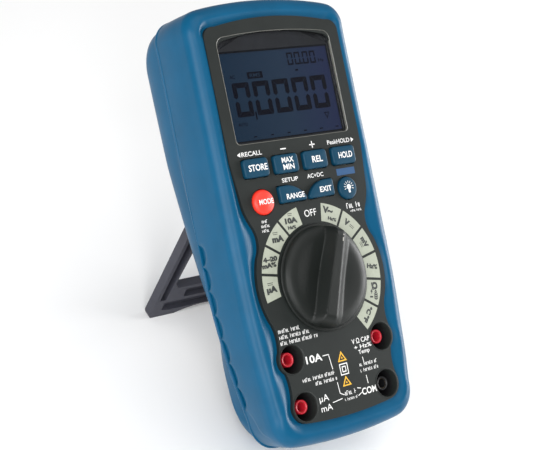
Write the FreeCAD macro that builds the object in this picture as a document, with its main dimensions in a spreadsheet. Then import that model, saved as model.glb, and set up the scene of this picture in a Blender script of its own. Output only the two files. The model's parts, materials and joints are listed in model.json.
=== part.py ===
"""A rugged handheld digital multimeter standing on its tilt stand, as a parametric assembly.

Every sub-part is designed in the meter's own axes: x to the right, y up along the casing and
z out of the face, with z = 0 on the black panel.  The finished objects then all get the same
Placement, which leans the meter back on its stand: +Z up, the face towards -Y, and the origin
on the table under the middle of the assembly.
"""
import FreeCAD, Part
import math
import os

import Sketcher

# Driving dimensions: millimetres and degrees.
DIMENSIONS = {
    # the pose on the table
    "lean_angle": 43.0,
    "table_drop": 83.94,
    "origin_forward": -19.79,
    # casing
    "front_draft": 8.0,
    "parting_depth": 24.0,
    "roll_depth": 32.5,
    "back_depth": 41.0,
    "back_roll": 3.6,
    "side_roll": 1.6,
    "back_round": 3.6,
    "rubber": 2.6,
    "wall": 2.2,
    "plate": 3.2,
    "side_half": 41.9,
    "side_top": 88.0,
    "side_foot": -4.0,
    "shoulder_half": 34.5,
    "shoulder_top": 98.6,
    "corner_half": 37.7,
    "corner_top": -72.0,
    "bottom_half": 29.0,
    "bottom_edge": -83.3,
    "top_arch": 197.0,
    "bottom_arch": 234.0,
    # black panel and window
    "panel_half": 35.3,
    "panel_side_top": 85.5,
    "panel_arch": 146.0,
    "window_half": 29.8,
    "window_bottom": 41.1,
    "window_side_top": 80.0,
    "window_arch": 122.0,
    "window_ledge": 2.2,
    "window_thick": 1.0,
    "window_sunk": 0.9,
    # rotary switch
    "dial_centre": -18.15,
    "knob_radius": 22.6,
    "knob_gap": 0.5,
    "knob_flange": 1.4,
    "knob_height": 9.5,
    "scoop_radius": 14.0,
    "scoop_centre": 17.0,
    "shaft_radius": 7.0,
    "running_gap": 0.06,
    "rotor_radius": 20.4,
    "rotor_top": -5.7,
    "rotor_thick": 1.9,
    "rest_turn": -22.5,
    "step_angle": 22.5,
    # circuit board
    "board_top": -8.4,
    "board_thick": 1.6,
    "board_half": 36.3,
    # keys
    "key_wide": 12.6,
    "key_tall": 7.8,
    "key_rise": 1.7,
    "key_gap": 0.35,
    "key_lip": 1.0,
    "key_row": 30.9,
    "key_pitch": 15.65,
    "mode_radius": 5.25,
    "light_radius": 4.8,
    # input sockets
    "upper_jack": 24.4,
    "upper_jack_row": -48.0,
    "lower_jack": 22.3,
    "lower_jack_row": -67.9,
    "recess_radius": 6.3,
    "cup_radius": 7.0,
    "cup_bore": 5.9,
    "cup_bottom": -25.5,
    "sleeve_radius": 3.0,
    "sleeve_top": -2.8,
    "socket_radius": 2.5,
    "socket_bore": 2.0,
    "socket_top": -3.4,
    "socket_depth": 20.6,
    # tilt stand
    "hinge_row": 24.0,
    "hinge_depth": -38.5,
    "stand_open": 52.6,
    "stand_thick": 4.7,
    "stand_skin": 1.6,
    "stand_rim": 1.8,
    "stand_long": 74.4,
    "stand_top_half": 25.8,
    "stand_foot_half": 29.8,
    "window_top_half": 18.6,
    "window_foot_half": 22.2,
    "pin_radius": 2.0,
    "pin_gap": 0.05,
    "recess_floor": -35.8,
    "recess_wall": 2.8,
    # battery
    "battery_wide": 48.5,
    "battery_tall": 26.5,
    "battery_deep": 17.5,
    "battery_row": -15.0,
    "door_half_wide": 26.6,
    "door_half_tall": 20.6,
    "door_thick": 1.1,
}

doc = FreeCAD.newDocument("multimeter")
sheet = doc.addObject("Spreadsheet::Sheet", "Sizes")


class Size:
    """A length that carries its number and the sheet formula it stands for."""

    def __init__(self, number, formula):
        self.number = number
        self.formula = formula

    def joined(self, other, sign):
        other = as_size(other)
        if sign == "+":
            number = self.number + other.number
        elif sign == "-":
            number = self.number - other.number
        elif sign == "*":
            number = self.number * other.number
        else:
            number = self.number / other.number
        return Size(number, f"({self.formula} {sign} {other.formula})")

    def __add__(self, other):
        return self.joined(other, "+")

    def __radd__(self, other):
        return as_size(other).joined(self, "+")

    def __sub__(self, other):
        return self.joined(other, "-")

    def __rsub__(self, other):
        return as_size(other).joined(self, "-")

    def __mul__(self, other):
        return self.joined(other, "*")

    def __truediv__(self, other):
        return self.joined(other, "/")

    def __neg__(self):
        return Size(-self.number, f"(0 - {self.formula})")


def as_size(value):
    """Return value as a Size, so that plain numbers mix with sheet sizes."""
    if isinstance(value, Size):
        return value
    return Size(float(value), f"{value:.6f}")


class Sizes:
    """The sheet's cells, read by name."""

    def __init__(self, dimensions):
        for row, (name, number) in enumerate(dimensions.items(), start=1):
            sheet.set(f"A{row}", name)
            sheet.set(f"B{row}", str(number))
            sheet.setAlias(f"B{row}", name)
            setattr(self, name, Size(number, f"Sizes.{name}"))


s = Sizes(DIMENSIONS)
doc.recompute()

nodes = {}


def bind(item, prop, value, unit=""):
    """Bind one property of an object to its sheet formula."""
    item.setExpression(prop, as_size(value).formula + unit)


def move(item, x=0, y=0, z=0):
    """Bind an object's position."""
    for prop, value in (("x", x), ("y", y), ("z", z)):
        bind(item, f"Placement.Base.{prop}", value, " * 1 mm")


def node(name, item):
    """Register a finished sub-part under the name its file gets."""
    item.Label = name
    nodes[name] = item
    return item


# Building blocks -----------------------------------------------------------------------------


def box(name, low, high):
    """A block between two corners."""
    item = doc.addObject("Part::Box", name)
    for prop, start, end in zip(("Length", "Width", "Height"), low, high):
        bind(item, prop, as_size(end) - start)
    move(item, *low)
    return item


AXIS_TURNS = {
    "x": FreeCAD.Rotation(FreeCAD.Vector(0, 1, 0), 90),
    "y": FreeCAD.Rotation(FreeCAD.Vector(1, 0, 0), -90),
    "z": FreeCAD.Rotation(),
}


def rod(name, radius, length, at, axis="z"):
    """A round bar that starts at a point and runs along +x, +y or +z."""
    item = doc.addObject("Part::Cylinder", name)
    bind(item, "Radius", radius)
    bind(item, "Height", length)
    item.Placement.Rotation = AXIS_TURNS[axis]
    move(item, *at)
    return item


def cone(name, low_radius, high_radius, length, at):
    """A cone or countersink along +z."""
    item = doc.addObject("Part::Cone", name)
    bind(item, "Radius1", low_radius)
    bind(item, "Radius2", high_radius)
    bind(item, "Height", length)
    move(item, *at)
    return item


def fuse(name, *items):
    item = doc.addObject("Part::MultiFuse", name)
    item.Shapes = list(items)
    item.Refine = True
    return item


def cut(name, base, *tools):
    item = doc.addObject("Part::Cut", name)
    item.Base = base
    item.Tool = tools[0] if len(tools) == 1 else fuse(name + "_tools", *tools)
    return item


def common(name, first, second):
    item = doc.addObject("Part::MultiCommon", name)
    item.Shapes = [first, second]
    return item


def group(name, *items):
    """Separate solids that share a node."""
    item = doc.addObject("Part::Compound", name)
    item.Links = list(items)
    return item


def arc_centre(start, end, radius):
    """Centre of the arc from start to end: a positive radius bulges to the right of the way."""
    middle = (start + end) * 0.5
    chord = end - start
    left = FreeCAD.Vector(-chord.y, chord.x, 0).normalize()
    rise = math.sqrt(max(radius * radius - chord.Length * chord.Length / 4, 0))
    return middle + left * (rise if radius > 0 else -rise)


def add_arc(sketch, start, end, radius):
    """Add the arc from start to end and return which of its ends is the start."""
    centre = arc_centre(start, end, radius)
    first, last = (start, end) if radius > 0 else (end, start)
    first_angle = math.atan2(first.y - centre.y, first.x - centre.x)
    last_angle = math.atan2(last.y - centre.y, last.x - centre.x)
    circle = Part.Circle(centre, FreeCAD.Vector(0, 0, 1), abs(radius))
    sketch.addGeometry(Part.ArcOfCircle(circle, first_angle, last_angle), False)
    return (1, 2) if radius > 0 else (2, 1)


def constrain(sketch, kind, value, name, *ends):
    """Add a dimension to a sketch and bind it to the sheet."""
    index = sketch.addConstraint(Sketcher.Constraint(kind, *ends, value.number))
    sketch.renameConstraint(index, name)
    bind(sketch, f"Constraints.{name}", value)


def arc_of(corner):
    """The radius of the arc that leaves a corner, or None where a straight line does."""
    if len(corner) < 3 or corner[2] is None:
        return None
    return as_size(corner[2])


def draw_loop(sketch, corners):
    """Draw a closed loop: each corner is (x, y) or (x, y, radius of the arc that leaves it)."""
    base = sketch.GeometryCount
    count = len(corners)
    points = []
    for corner in corners:
        points.append(FreeCAD.Vector(as_size(corner[0]).number, as_size(corner[1]).number, 0))
    ends = []
    for index, corner in enumerate(corners):
        start = points[index]
        end = points[(index + 1) % count]
        radius = arc_of(corner)
        if radius:
            ends.append(add_arc(sketch, start, end, radius.number))
        else:
            sketch.addGeometry(Part.LineSegment(start, end), False)
            ends.append((1, 2))
    for index in range(count):
        after = (index + 1) % count
        joint = (base + index, ends[index][1], base + after, ends[after][0])
        sketch.addConstraint(Sketcher.Constraint("Coincident", *joint))
    for index, corner in enumerate(corners):
        place = (-1, 1, base + index, ends[index][0])
        constrain(sketch, "DistanceX", as_size(corner[0]), f"x{base + index}", *place)
        constrain(sketch, "DistanceY", as_size(corner[1]), f"y{base + index}", *place)
        radius = arc_of(corner)
        if radius:
            radius = radius if radius.number > 0 else -radius
            constrain(sketch, "Radius", radius, f"r{base + index}", base + index)


def both_sides(corners):
    """Complete a loop from its right-hand corners, listed from the bottom to the top.

    The first corner's own arc closes the loop at the bottom and the last one's at the top.
    """
    bottom = corners[0][2:3]
    right = []
    for x, y, *_ in corners:
        right.append([x, y])
    leaving = [corner[3:4] if index == 0 else corner[2:3] for index, corner in enumerate(corners)]
    loop = []
    for place, arc in zip(right, leaving):
        loop.append((*place, *arc))
    for index in range(len(corners) - 1, -1, -1):
        arc = leaving[index - 1] if index else bottom
        loop.append((-as_size(right[index][0]), right[index][1], *arc))
    return loop


def flat_sketch(name, height, *loops):
    """A sketch parallel to the face at a height, with one or more closed loops."""
    sketch = doc.addObject("Sketcher::SketchObject", name)
    for loop in loops:
        draw_loop(sketch, loop)
    move(sketch, z=height)
    return sketch


def slab(name, low, high, *loops):
    """A flat-sided solid on closed loops, between two heights."""
    item = doc.addObject("Part::Extrusion", name)
    item.Base = flat_sketch(name + "_outline", low, *loops)
    item.DirMode = "Custom"
    item.Dir = FreeCAD.Vector(0, 0, 1)
    item.Solid = True
    bind(item, "LengthFwd", as_size(high) - low)
    return item


def skin(name, sections):
    """A solid through loops at several heights, straight from each to the next."""
    item = doc.addObject("Part::Loft", name)
    item.Sections = [
        flat_sketch(f"{name}_{index}", height, loop)
        for index, (height, loop) in enumerate(sections)
    ]
    item.Solid = True
    item.Ruled = True
    return item


def rounded(low, high, radius):
    """A rectangle with round corners, as a loop."""
    left, bottom = as_size(low[0]), as_size(low[1])
    right, top = as_size(high[0]), as_size(high[1])
    return [
        (left + radius, bottom),
        (right - radius, bottom, radius),
        (right, bottom + radius),
        (right, top - radius, radius),
        (right - radius, top),
        (left + radius, top, radius),
        (left, top - radius),
        (left, bottom + radius, radius),
    ]


# Outlines ------------------------------------------------------------------------------------


def front_outline(inset):
    """The casing seen from the front, moved inwards all round."""
    return both_sides([
        (s.bottom_half - inset * 0.4, s.bottom_edge + inset, s.bottom_arch, 11.0 - inset * 0.4),
        (s.corner_half - inset, s.corner_top + inset * 0.3, 890.0),
        (s.side_half - inset, s.side_foot),
        (s.side_half - inset, s.side_top - inset * 0.3, 9.0 - inset * 0.4),
        (s.shoulder_half - inset * 0.4, s.shoulder_top - inset, s.top_arch),
    ])


def parting_outline(inset):
    """The casing where its halves meet, drawn in towards the bottom."""
    return both_sides([
        (s.bottom_half - 2.6 - inset * 0.4, s.bottom_edge + 0.4 + inset, 215.0, 10.8 - inset * 0.4),
        (s.corner_half - 3.8 - inset, s.corner_top + inset * 0.3, 420.0),
        (s.side_half - inset, s.side_foot),
        (s.side_half - inset, s.side_top - inset * 0.3, 9.0 - inset * 0.4),
        (s.shoulder_half - inset * 0.4, s.shoulder_top - inset, s.top_arch),
    ])


def rear_outline(inset, rolled=0.0):
    """The casing near its back, narrower below; the sides can be rolled in beyond the ends."""
    side = inset + rolled
    return both_sides([
        (s.bottom_half - 4.6 - side * 0.4, s.bottom_edge + 0.6 + inset, 200.0, 10.5 - side * 0.4),
        (s.corner_half - 7.4 - side, s.corner_top + side * 0.3, 700.0),
        (s.side_half - 4.9 - side, s.side_foot),
        (s.side_half - 1.2 - side, s.side_top - side * 0.3, 9.0 - side * 0.4),
        (s.shoulder_half - 0.8 - side * 0.4, s.shoulder_top - 1.2 - inset, s.top_arch),
    ])


def panel_outline():
    """The black panel: lobes round the sockets, a waist at the dial and an arched top."""
    lobe = 6.7
    return both_sides([
        (23.2, -74.6, 190.0, lobe),
        (28.4, -65.2, -22.9),
        (28.6, -53.2, lobe),
        (30.0, -44.3, -19.4),
        (30.4, -33.0, 33.83),
        (31.3, -5.3, -12.8),
        (30.7, 8.1, 28.0),
        (33.8, 20.2),
        (s.panel_half, 34.3),
        (s.panel_half, s.panel_side_top, 5.0),
        (29.5, 90.2, s.panel_arch),
    ])


def window_outline(inset):
    """The display window: square below, arched above."""
    return both_sides([
        (s.window_half - 2.0, s.window_bottom + inset, None, 2.0 - inset),
        (s.window_half - inset, s.window_bottom + 2.0),
        (s.window_half - inset, s.window_side_top, 4.0),
        (26.4, 84.2 - inset, s.window_arch),
    ])


def stand_recess(clearance):
    """The shallow bay in the back that takes the folded stand."""
    top = s.hinge_row + s.stand_thick / 2 + clearance
    bottom = s.hinge_row - s.stand_long - clearance
    top_half = s.stand_top_half + clearance
    foot_half = s.stand_foot_half + clearance
    return [(-foot_half, bottom), (foot_half, bottom), (top_half, top), (-top_half, top)]


# Casing --------------------------------------------------------------------------------------

CASE_SCREWS = [(-32.0, 88.0), (32.0, 88.0), (-8.0, -73.0), (8.0, -73.0)]
BOARD_SCREWS = [(-33.7, 37.6), (33.7, 37.6), (-29.5, -30.0), (29.5, -30.0)]
DOOR_SCREWS = [(-19.0, -32.0), (19.0, -32.0), (-19.0, 2.0), (19.0, 2.0)]
JACKS = {
    "10a": (-s.upper_jack, s.upper_jack_row),
    "volts": (s.upper_jack, s.upper_jack_row),
    "ma": (-s.lower_jack, s.lower_jack_row),
    "com": (s.lower_jack, s.lower_jack_row),
}
ROW_KEYS = {
    "key_store": s.key_pitch * -1.5,
    "key_max_min": s.key_pitch * -0.5,
    "key_relative": s.key_pitch * 0.5,
    "key_hold": s.key_pitch * 1.5,
}


def row_key_loop(middle, grow):
    half_wide = s.key_wide / 2 + grow
    half_tall = s.key_tall / 2 + grow
    low = (middle - half_wide, s.key_row - half_tall)
    high = (middle + half_wide, s.key_row + half_tall)
    return rounded(low, high, 1.6)


def wing_key_loop(side, grow):
    """A key under the row: square outer corners and the inner top corner cut by a large arc."""
    inner = 1.0 - grow
    outer = 14.5 + grow
    bottom = 14.8 - grow
    top = 22.0 + grow
    loop = [
        (inner, bottom),
        (outer, bottom),
        (outer, top),
        (inner + 8.8, top, 12.0),
        (inner, bottom + 1.9),
    ]
    return loop if side > 0 else mirrored(loop)


def mirrored(loop):
    """The loop's mirror image across x = 0, turned round so that it runs the same way."""
    turned = []
    for index in range(len(loop) - 1, -1, -1):
        arc = loop[index - 1][2:]
        turned.append((-as_size(loop[index][0]), loop[index][1], *arc))
    return turned


ROUND_KEYS = {
    "key_mode": (-22.8, 16.7, s.mode_radius, 2.3),
    "key_light": (22.4, 16.7, s.light_radius, 1.2),
}


def make_front_case():
    body = skin("front_shell", [
        (-s.parting_depth, parting_outline(s.rubber)),
        (-s.front_draft, front_outline(s.rubber)),
        (-s.plate, front_outline(s.rubber)),
    ])
    hollow = skin("front_hollow", [
        (-s.parting_depth - 1, parting_outline(s.rubber + s.wall)),
        (-s.front_draft, front_outline(s.rubber + s.wall)),
        (-s.plate - s.wall, front_outline(s.rubber + s.wall)),
    ])
    thin = slab("front_relief", -s.plate - s.wall - 1, -s.plate,
                rounded((-33.5, -42.6), (33.5, 84.0), 4.0))
    panel = slab("front_panel", -s.plate, 0, panel_outline())
    shell = cut("front_tray", body, hollow, thin)
    bosses = []
    for index, (x, y) in enumerate(CASE_SCREWS):
        bosses.append(rod(f"front_boss{index}", 3.4, s.parting_depth - s.plate,
                          (x, y, -s.parting_depth)))
    for index, (x, y) in enumerate(BOARD_SCREWS):
        bosses.append(rod(f"board_boss{index}", 2.4, -s.board_top - s.plate, (x, y, s.board_top)))
    collar = rod("shaft_collar", 10.0, 2.0, (0, s.dial_centre, -s.plate - 2.0))
    solid = fuse("front_solid", shell, panel, collar, *bosses)

    tools = [
        slab("window_rebate", -s.window_ledge, 1, window_outline(0)),
        box("window_opening", (-29.1, 41.9, -8), (29.1, 80.0, 1)),
        rod("shaft_hole", s.shaft_radius + s.running_gap, 12, (0, s.dial_centre, -8)),
    ]
    for name, middle in ROW_KEYS.items():
        tools.append(slab(name + "_hole", -8, 1, row_key_loop(middle, s.key_gap)))
    for side, name in ((-1, "key_range"), (1, "key_exit")):
        tools.append(slab(name + "_hole", -8, 1, wing_key_loop(side, s.key_gap)))
    for name, (x, y, radius, _) in ROUND_KEYS.items():
        tools.append(rod(name + "_hole", radius + s.key_gap, 9, (x, y, -8)))
    for name, (x, y) in JACKS.items():
        tools.append(rod(f"recess_{name}", s.recess_radius, 5, (x, y, -4)))
        tools.append(rod(f"cup_seat_{name}", s.cup_radius, 24, (x, y, -s.plate - 24)))
    for index, (x, y) in enumerate(CASE_SCREWS):
        tools.append(rod(f"front_pilot{index}", 1.3, 14, (x, y, -s.parting_depth - 1)))
    for index, (x, y) in enumerate(BOARD_SCREWS):
        tools.append(rod(f"board_pilot{index}", 1.0, 5.0, (x, y, s.board_top - 1)))
    node("front_case", cut("front_case", solid, *tools))


def make_front_overmould():
    roll = [(8.0, 0.0), (4.0, 1.05), (1.6, 3.0), (0.5, 4.8), (0.0, 6.4)]
    sections = [(-s.parting_depth, parting_outline(0))]
    for depth, inset in roll:
        sections.append((as_size(-depth), front_outline(as_size(inset))))
    outside = skin("front_rubber", sections)
    inside = skin("front_rubber_bore", [
        (-s.parting_depth - 1, parting_outline(s.rubber)),
        (-s.front_draft, front_outline(s.rubber)),
        (-s.plate, front_outline(s.rubber)),
    ])
    opening = slab("front_rubber_window", -s.plate - 1, 1, panel_outline())
    node("front_overmould", cut("front_overmould", outside, inside, opening))


def rear_skin(name, inset, floor):
    """The rear half's outer form, moved inwards, down to a chosen depth."""
    return skin(name, [
        (-s.parting_depth, parting_outline(inset)),
        (-s.roll_depth, rear_outline(inset)),
        (-floor + s.back_round, rear_outline(inset + s.back_round * 0.3, s.back_round * 0.1)),
        (-floor, rear_outline(inset + s.back_roll, s.side_roll)),
    ])


def table_block(name):
    """Everything below the table, in the meter's axes."""
    item = doc.addObject("Part::Box", name)
    item.Length = 200
    item.Width = 400
    item.Height = 60
    lean = FreeCAD.Rotation(FreeCAD.Vector(1, 0, 0), -s.lean_angle.number)
    corner = lean.multVec(FreeCAD.Vector(-100, -200, -60 - s.table_drop.number))
    item.Placement = FreeCAD.Placement(corner, lean)
    return item


HINGE_BOSS_ENDS = (26.4, 32.4)


def hinge_bosses(name):
    """The two blocks that carry the stand's pins."""
    blocks = []
    inner, outer = HINGE_BOSS_ENDS
    for side in (-1, 1):
        ends = sorted((side * inner, side * outer))
        low = (ends[0], s.hinge_row - 5.0, -s.back_depth)
        high = (ends[1], s.hinge_row + 5.0, -s.roll_depth)
        blocks.append(box(f"{name}{'LR'[side > 0]}", low, high))
    return blocks


def make_rear_overmould():
    outside = rear_skin("rear_rubber", as_size(0), s.back_depth)
    inside = rear_skin("rear_rubber_bore", s.rubber, s.back_depth - 2.0)
    bay = slab("rear_rubber_bay", -s.back_depth - 1, s.recess_floor, stand_recess(0.7))
    tools = [inside, bay, table_block("rubber_table"), *hinge_bosses("rubber_hinge_gap")]
    for index, (x, y) in enumerate(CASE_SCREWS):
        tools.append(rod(f"rubber_head_hole{index}", 3.1, 12, (x, y, -s.back_depth - 1)))
    node("rear_overmould", cut("rear_overmould", outside, *tools))


def battery_box(name, around, low, high):
    """The battery's block grown sideways by an amount, between two heights."""
    half_wide = s.battery_wide / 2 + 1.5 + around
    half_tall = s.battery_tall / 2 + around
    return box(name, (-half_wide, s.battery_row - half_tall, low),
               (half_wide, s.battery_row + half_tall, high))


def door_loop(grow):
    """The battery door's outline."""
    half_wide = s.door_half_wide + grow
    half_tall = s.door_half_tall + grow
    return rounded((-half_wide, s.battery_row - half_tall),
                   (half_wide, s.battery_row + half_tall), 2.0)


def seal_loop(name, low, high):
    """The flat ring that seals the battery door against its seat."""
    return cut(name, battery_box(name + "_out", 2.4, low, high),
               battery_box(name + "_in", 1.2, low - 1, high + 1))


def make_rear_case():
    floor = s.recess_floor
    outside = rear_skin("rear_shell", s.rubber, s.back_depth - 2.0)
    inside = rear_skin("rear_hollow", s.rubber + s.wall, s.back_depth - 4.2)
    limit = rear_skin("rear_limit", s.rubber, s.back_depth - 2.0)
    bay_block = slab("bay_block", -s.back_depth, floor + s.recess_wall, stand_recess(3.2))
    seat_depth = floor + s.door_thick
    battery_top = floor + 2.0 + s.battery_deep
    pen = battery_box("battery_pen", 1.9, floor + 1.0, battery_top + 1.9)
    bosses = []
    for index, (x, y) in enumerate(CASE_SCREWS):
        bosses.append(rod(f"rear_boss{index}", 4.2, s.back_depth - s.parting_depth - 3.0,
                          (x, y, -s.back_depth + 3.0)))
    for index, (x, y) in enumerate(DOOR_SCREWS):
        bosses.append(rod(f"door_boss{index}", 2.6, 6.0, (x, y, floor + 1.0)))
    kept = common("rear_fittings", fuse("rear_fitting_set", bay_block, *bosses), limit)
    solid = fuse("rear_solid", cut("rear_tray", outside, inside), kept, pen,
                 *hinge_bosses("hinge_boss"))

    tools = [
        table_block("case_table"),
        slab("bay_cut", -s.back_depth - 1, floor, stand_recess(0.7)),
        slab("door_seat", floor - 1.0, seat_depth, door_loop(0.3)),
        battery_box("battery_room", 0.4, floor - 1.0, battery_top + 0.4),
        seal_loop("seal_groove", seat_depth - 0.01, seat_depth + 0.7),
        rod("hinge_bore", s.pin_radius + s.pin_gap, 61.0, (-30.5, s.hinge_row, s.hinge_depth),
            "x"),
        gasket_loop("gasket_groove", 0.1),
    ]
    for index, (x, y) in enumerate(CASE_SCREWS):
        tools.append(rod(f"rear_screw_hole{index}", 1.7, 30, (x, y, -s.back_depth)))
        tools.append(rod(f"rear_head_hole{index}", 3.1, 12, (x, y, -s.back_depth - 1)))
    for index, (x, y) in enumerate(DOOR_SCREWS):
        tools.append(rod(f"door_pilot{index}", 0.9, 7.0, (x, y, floor)))
    node("rear_case", cut("rear_case", solid, *tools))


def gasket_loop(name, above):
    """The seal's ring along the middle of the rear wall's rim."""
    wide = rear_skin(name + "_out", s.rubber + 0.5, s.back_depth - 2.0)
    inner = rear_skin(name + "_in", s.rubber + 1.7, s.back_depth - 2.0)
    band = box(name + "_band", (-50, -100, -s.parting_depth - 0.9),
               (50, 110, -s.parting_depth + above))
    return common(name, cut(name + "_ring", wide, inner), band)


def make_case_gasket():
    node("case_gasket", gasket_loop("case_gasket", 0.0))


def screw(name, x, y, head_face, shank, head_radius, head_tall, radius):
    """A screw whose head faces the back: a flat head and a plain shank."""
    head = rod(name + "_head", head_radius, head_tall, (x, y, head_face))
    stem = rod(name + "_stem", radius, shank, (x, y, head_face))
    slot = box(name + "_slot", (x - head_radius, y - 0.3, head_face - 0.5),
               (x + head_radius, y + 0.3, head_face + 0.4))
    return cut(name, fuse(name + "_solid", head, stem), slot)


def make_screws():
    items = []
    for index, (x, y) in enumerate(CASE_SCREWS):
        items.append(screw(f"case_screw{index}", x, y, -s.back_depth + 8.4, 18.0, 2.9, 2.4, 1.25))
    node("case_screws", group("case_screws", *items))
    items = []
    for index, (x, y) in enumerate(BOARD_SCREWS):
        items.append(screw(f"board_screw{index}", x, y, s.board_top - s.board_thick - 1.5,
                           5.6, 2.0, 1.5, 0.95))
    node("board_screws", group("board_screws", *items))
    items = []
    for index, (x, y) in enumerate(DOOR_SCREWS):
        items.append(screw(f"door_screw{index}", x, y, s.recess_floor, 6.0, 1.9, 0.8, 0.85))
    node("door_screws", group("door_screws", *items))


# Display -------------------------------------------------------------------------------------


def make_display():
    base = -s.window_sunk - s.window_thick
    node("lcd_window", slab("lcd_window", base, -s.window_sunk, window_outline(0.05)))
    node("window_gasket", cut("window_gasket",
                              slab("window_gasket_out", -s.window_ledge, base,
                                   window_outline(0.05)),
                              box("window_gasket_in", (-29.1, 41.9, -4), (29.1, 80.0, 0))))
    node("lcd_glass", box_node("lcd_glass", (-28.8, 42.2, -4.7), (28.8, 79.7, -2.4)))
    node("lcd_backlight", box_node("lcd_backlight", (-28.6, 45.0, -7.2), (28.6, 77.0, -4.7)))
    frame = cut("lcd_frame",
                box("lcd_frame_out", (-31.0, 39.6, s.board_top), (31.0, 82.0, -s.plate)),
                box("lcd_frame_in", (-28.85, 42.1, -7.2), (28.85, 79.8, 0)),
                box("lcd_frame_slot_low", (-27.2, 42.4, -9), (27.2, 44.2, 0)),
                box("lcd_frame_slot_high", (-27.2, 77.6, -9), (27.2, 79.4, 0)))
    node("lcd_frame", frame)
    strips = [box("zebra_low", (-27, 42.5, s.board_top), (27, 44.1, -4.7)),
              box("zebra_high", (-27, 77.7, s.board_top), (27, 79.3, -4.7))]
    node("contact_strips", group("contact_strips", *strips))


def box_node(name, low, high):
    """A block that is a sub-part of its own."""
    return group(name, box(name + "_block", low, high))


# Keys ----------------------------------------------------------------------------------------


def plunger(name, x, y):
    """The post under a key that presses the pad on the board."""
    return rod(name + "_post", 1.6, 1.4, (x, y, -6.0))


def key(name, face_loop, lip_loop, middle):
    """A key: the cap through the panel, a lip that keeps it in and a short plunger."""
    cap = slab(name + "_cap", -4.0, s.key_rise, face_loop)
    lip = slab(name + "_lip", -4.7, -3.6, lip_loop)
    return node(name, fuse(name, cap, lip, plunger(name, *middle)))


def make_keys():
    for name, middle in ROW_KEYS.items():
        key(name, row_key_loop(middle, 0), row_key_loop(middle, s.key_lip), (middle, s.key_row))
    for side, name in ((-1, "key_range"), (1, "key_exit")):
        key(name, wing_key_loop(side, 0), wing_key_loop(side, 0.7), (side * 8.0, 18.0))
    for name, (x, y, radius, rise) in ROUND_KEYS.items():
        cap = rod(name + "_cap", radius, rise + 2.8, (x, y, -4.0))
        dome = cone(name + "_dome", radius, radius - 1.2, 1.2, (x, y, rise - 1.2))
        lip = rod(name + "_lip", radius + 1.0, 1.1, (x, y, -4.7))
        node(name, fuse(name, cap, dome, lip, plunger(name, x, y)))
    mat = slab("keypad_mat", s.board_top, s.board_top + 1.2,
               rounded((-31.0, 11.4), (31.0, 35.6), 2.0))
    node("keypad_mat", mat)


# Rotary switch -------------------------------------------------------------------------------


def turned(item):
    """Turn a piece of the rotor to the position the knob rests at."""
    centre = FreeCAD.Vector(0, s.dial_centre.number, 0)
    turn = FreeCAD.Rotation(FreeCAD.Vector(0, 0, 1), s.rest_turn.number)
    spin = FreeCAD.Placement(FreeCAD.Vector(), turn, centre)
    item.Placement = spin
    return item


def make_knob():
    """The knob: a flanged disc with a ridge left standing between two scoops."""
    top = s.knob_gap + s.knob_flange
    disc = rod("knob_disc", s.knob_radius, s.knob_flange, (0, s.dial_centre, s.knob_gap))
    drum = cone("knob_drum", s.knob_radius - 0.7, s.knob_radius - 1.9, 2.6,
                (0, s.dial_centre, top))
    dome = cone("knob_dome", s.knob_radius - 1.9, s.knob_radius - 6.0,
                s.knob_height - s.knob_gap - s.knob_flange - 2.6,
                (0, s.dial_centre, top + 2.6))
    shaft = rod("knob_shaft", s.shaft_radius, s.knob_gap - s.rotor_top,
                (0, s.dial_centre, s.rotor_top))
    groove = cut("shaft_groove", rod("groove_out", s.shaft_radius + 1, 2.0,
                                     (0, s.dial_centre, -4.4)),
                 rod("groove_in", s.shaft_radius - 1.6, 2.0, (0, s.dial_centre, -4.4)))
    scoops = []
    for side in (-1, 1):
        scoop = rod(f"scoop{'LR'[side > 0]}", s.scoop_radius, 80, (0, 0, 0), "y")
        tilt = FreeCAD.Rotation(FreeCAD.Vector(0, 0, 1), side * 3.5)
        scoop.Placement.Rotation = tilt.multiply(AXIS_TURNS["y"])
        reach = 15.1 + math.tan(math.radians(3.5)) * 40
        move(scoop, side * reach, s.dial_centre - 40, s.scoop_centre)
        scoops.append(scoop)
    pilot = rod("knob_pilot", 1.2, 9.0, (0, s.dial_centre, s.rotor_top - 1))
    solid = cut("knob_solid", fuse("knob_blank", disc, drum, dome, shaft), groove, pilot, *scoops)
    node("selector_knob", group("selector_knob", turned(solid)))

    ring = doc.addObject("Part::Torus", "shaft_oring")
    bind(ring, "Radius1", s.shaft_radius - 0.85)
    bind(ring, "Radius2", as_size(0.7))
    move(ring, 0, s.dial_centre, -3.4)
    node("knob_oring", group("knob_oring", ring))


DETENT_TURNS = (45.0, 225.0)


def spoke_point(radius, angle):
    """A point in the rotor at a radius and an angle from the pointer."""
    turn = math.radians(90 + angle)
    return radius * math.cos(turn), s.dial_centre.number + radius * math.sin(turn)


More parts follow.
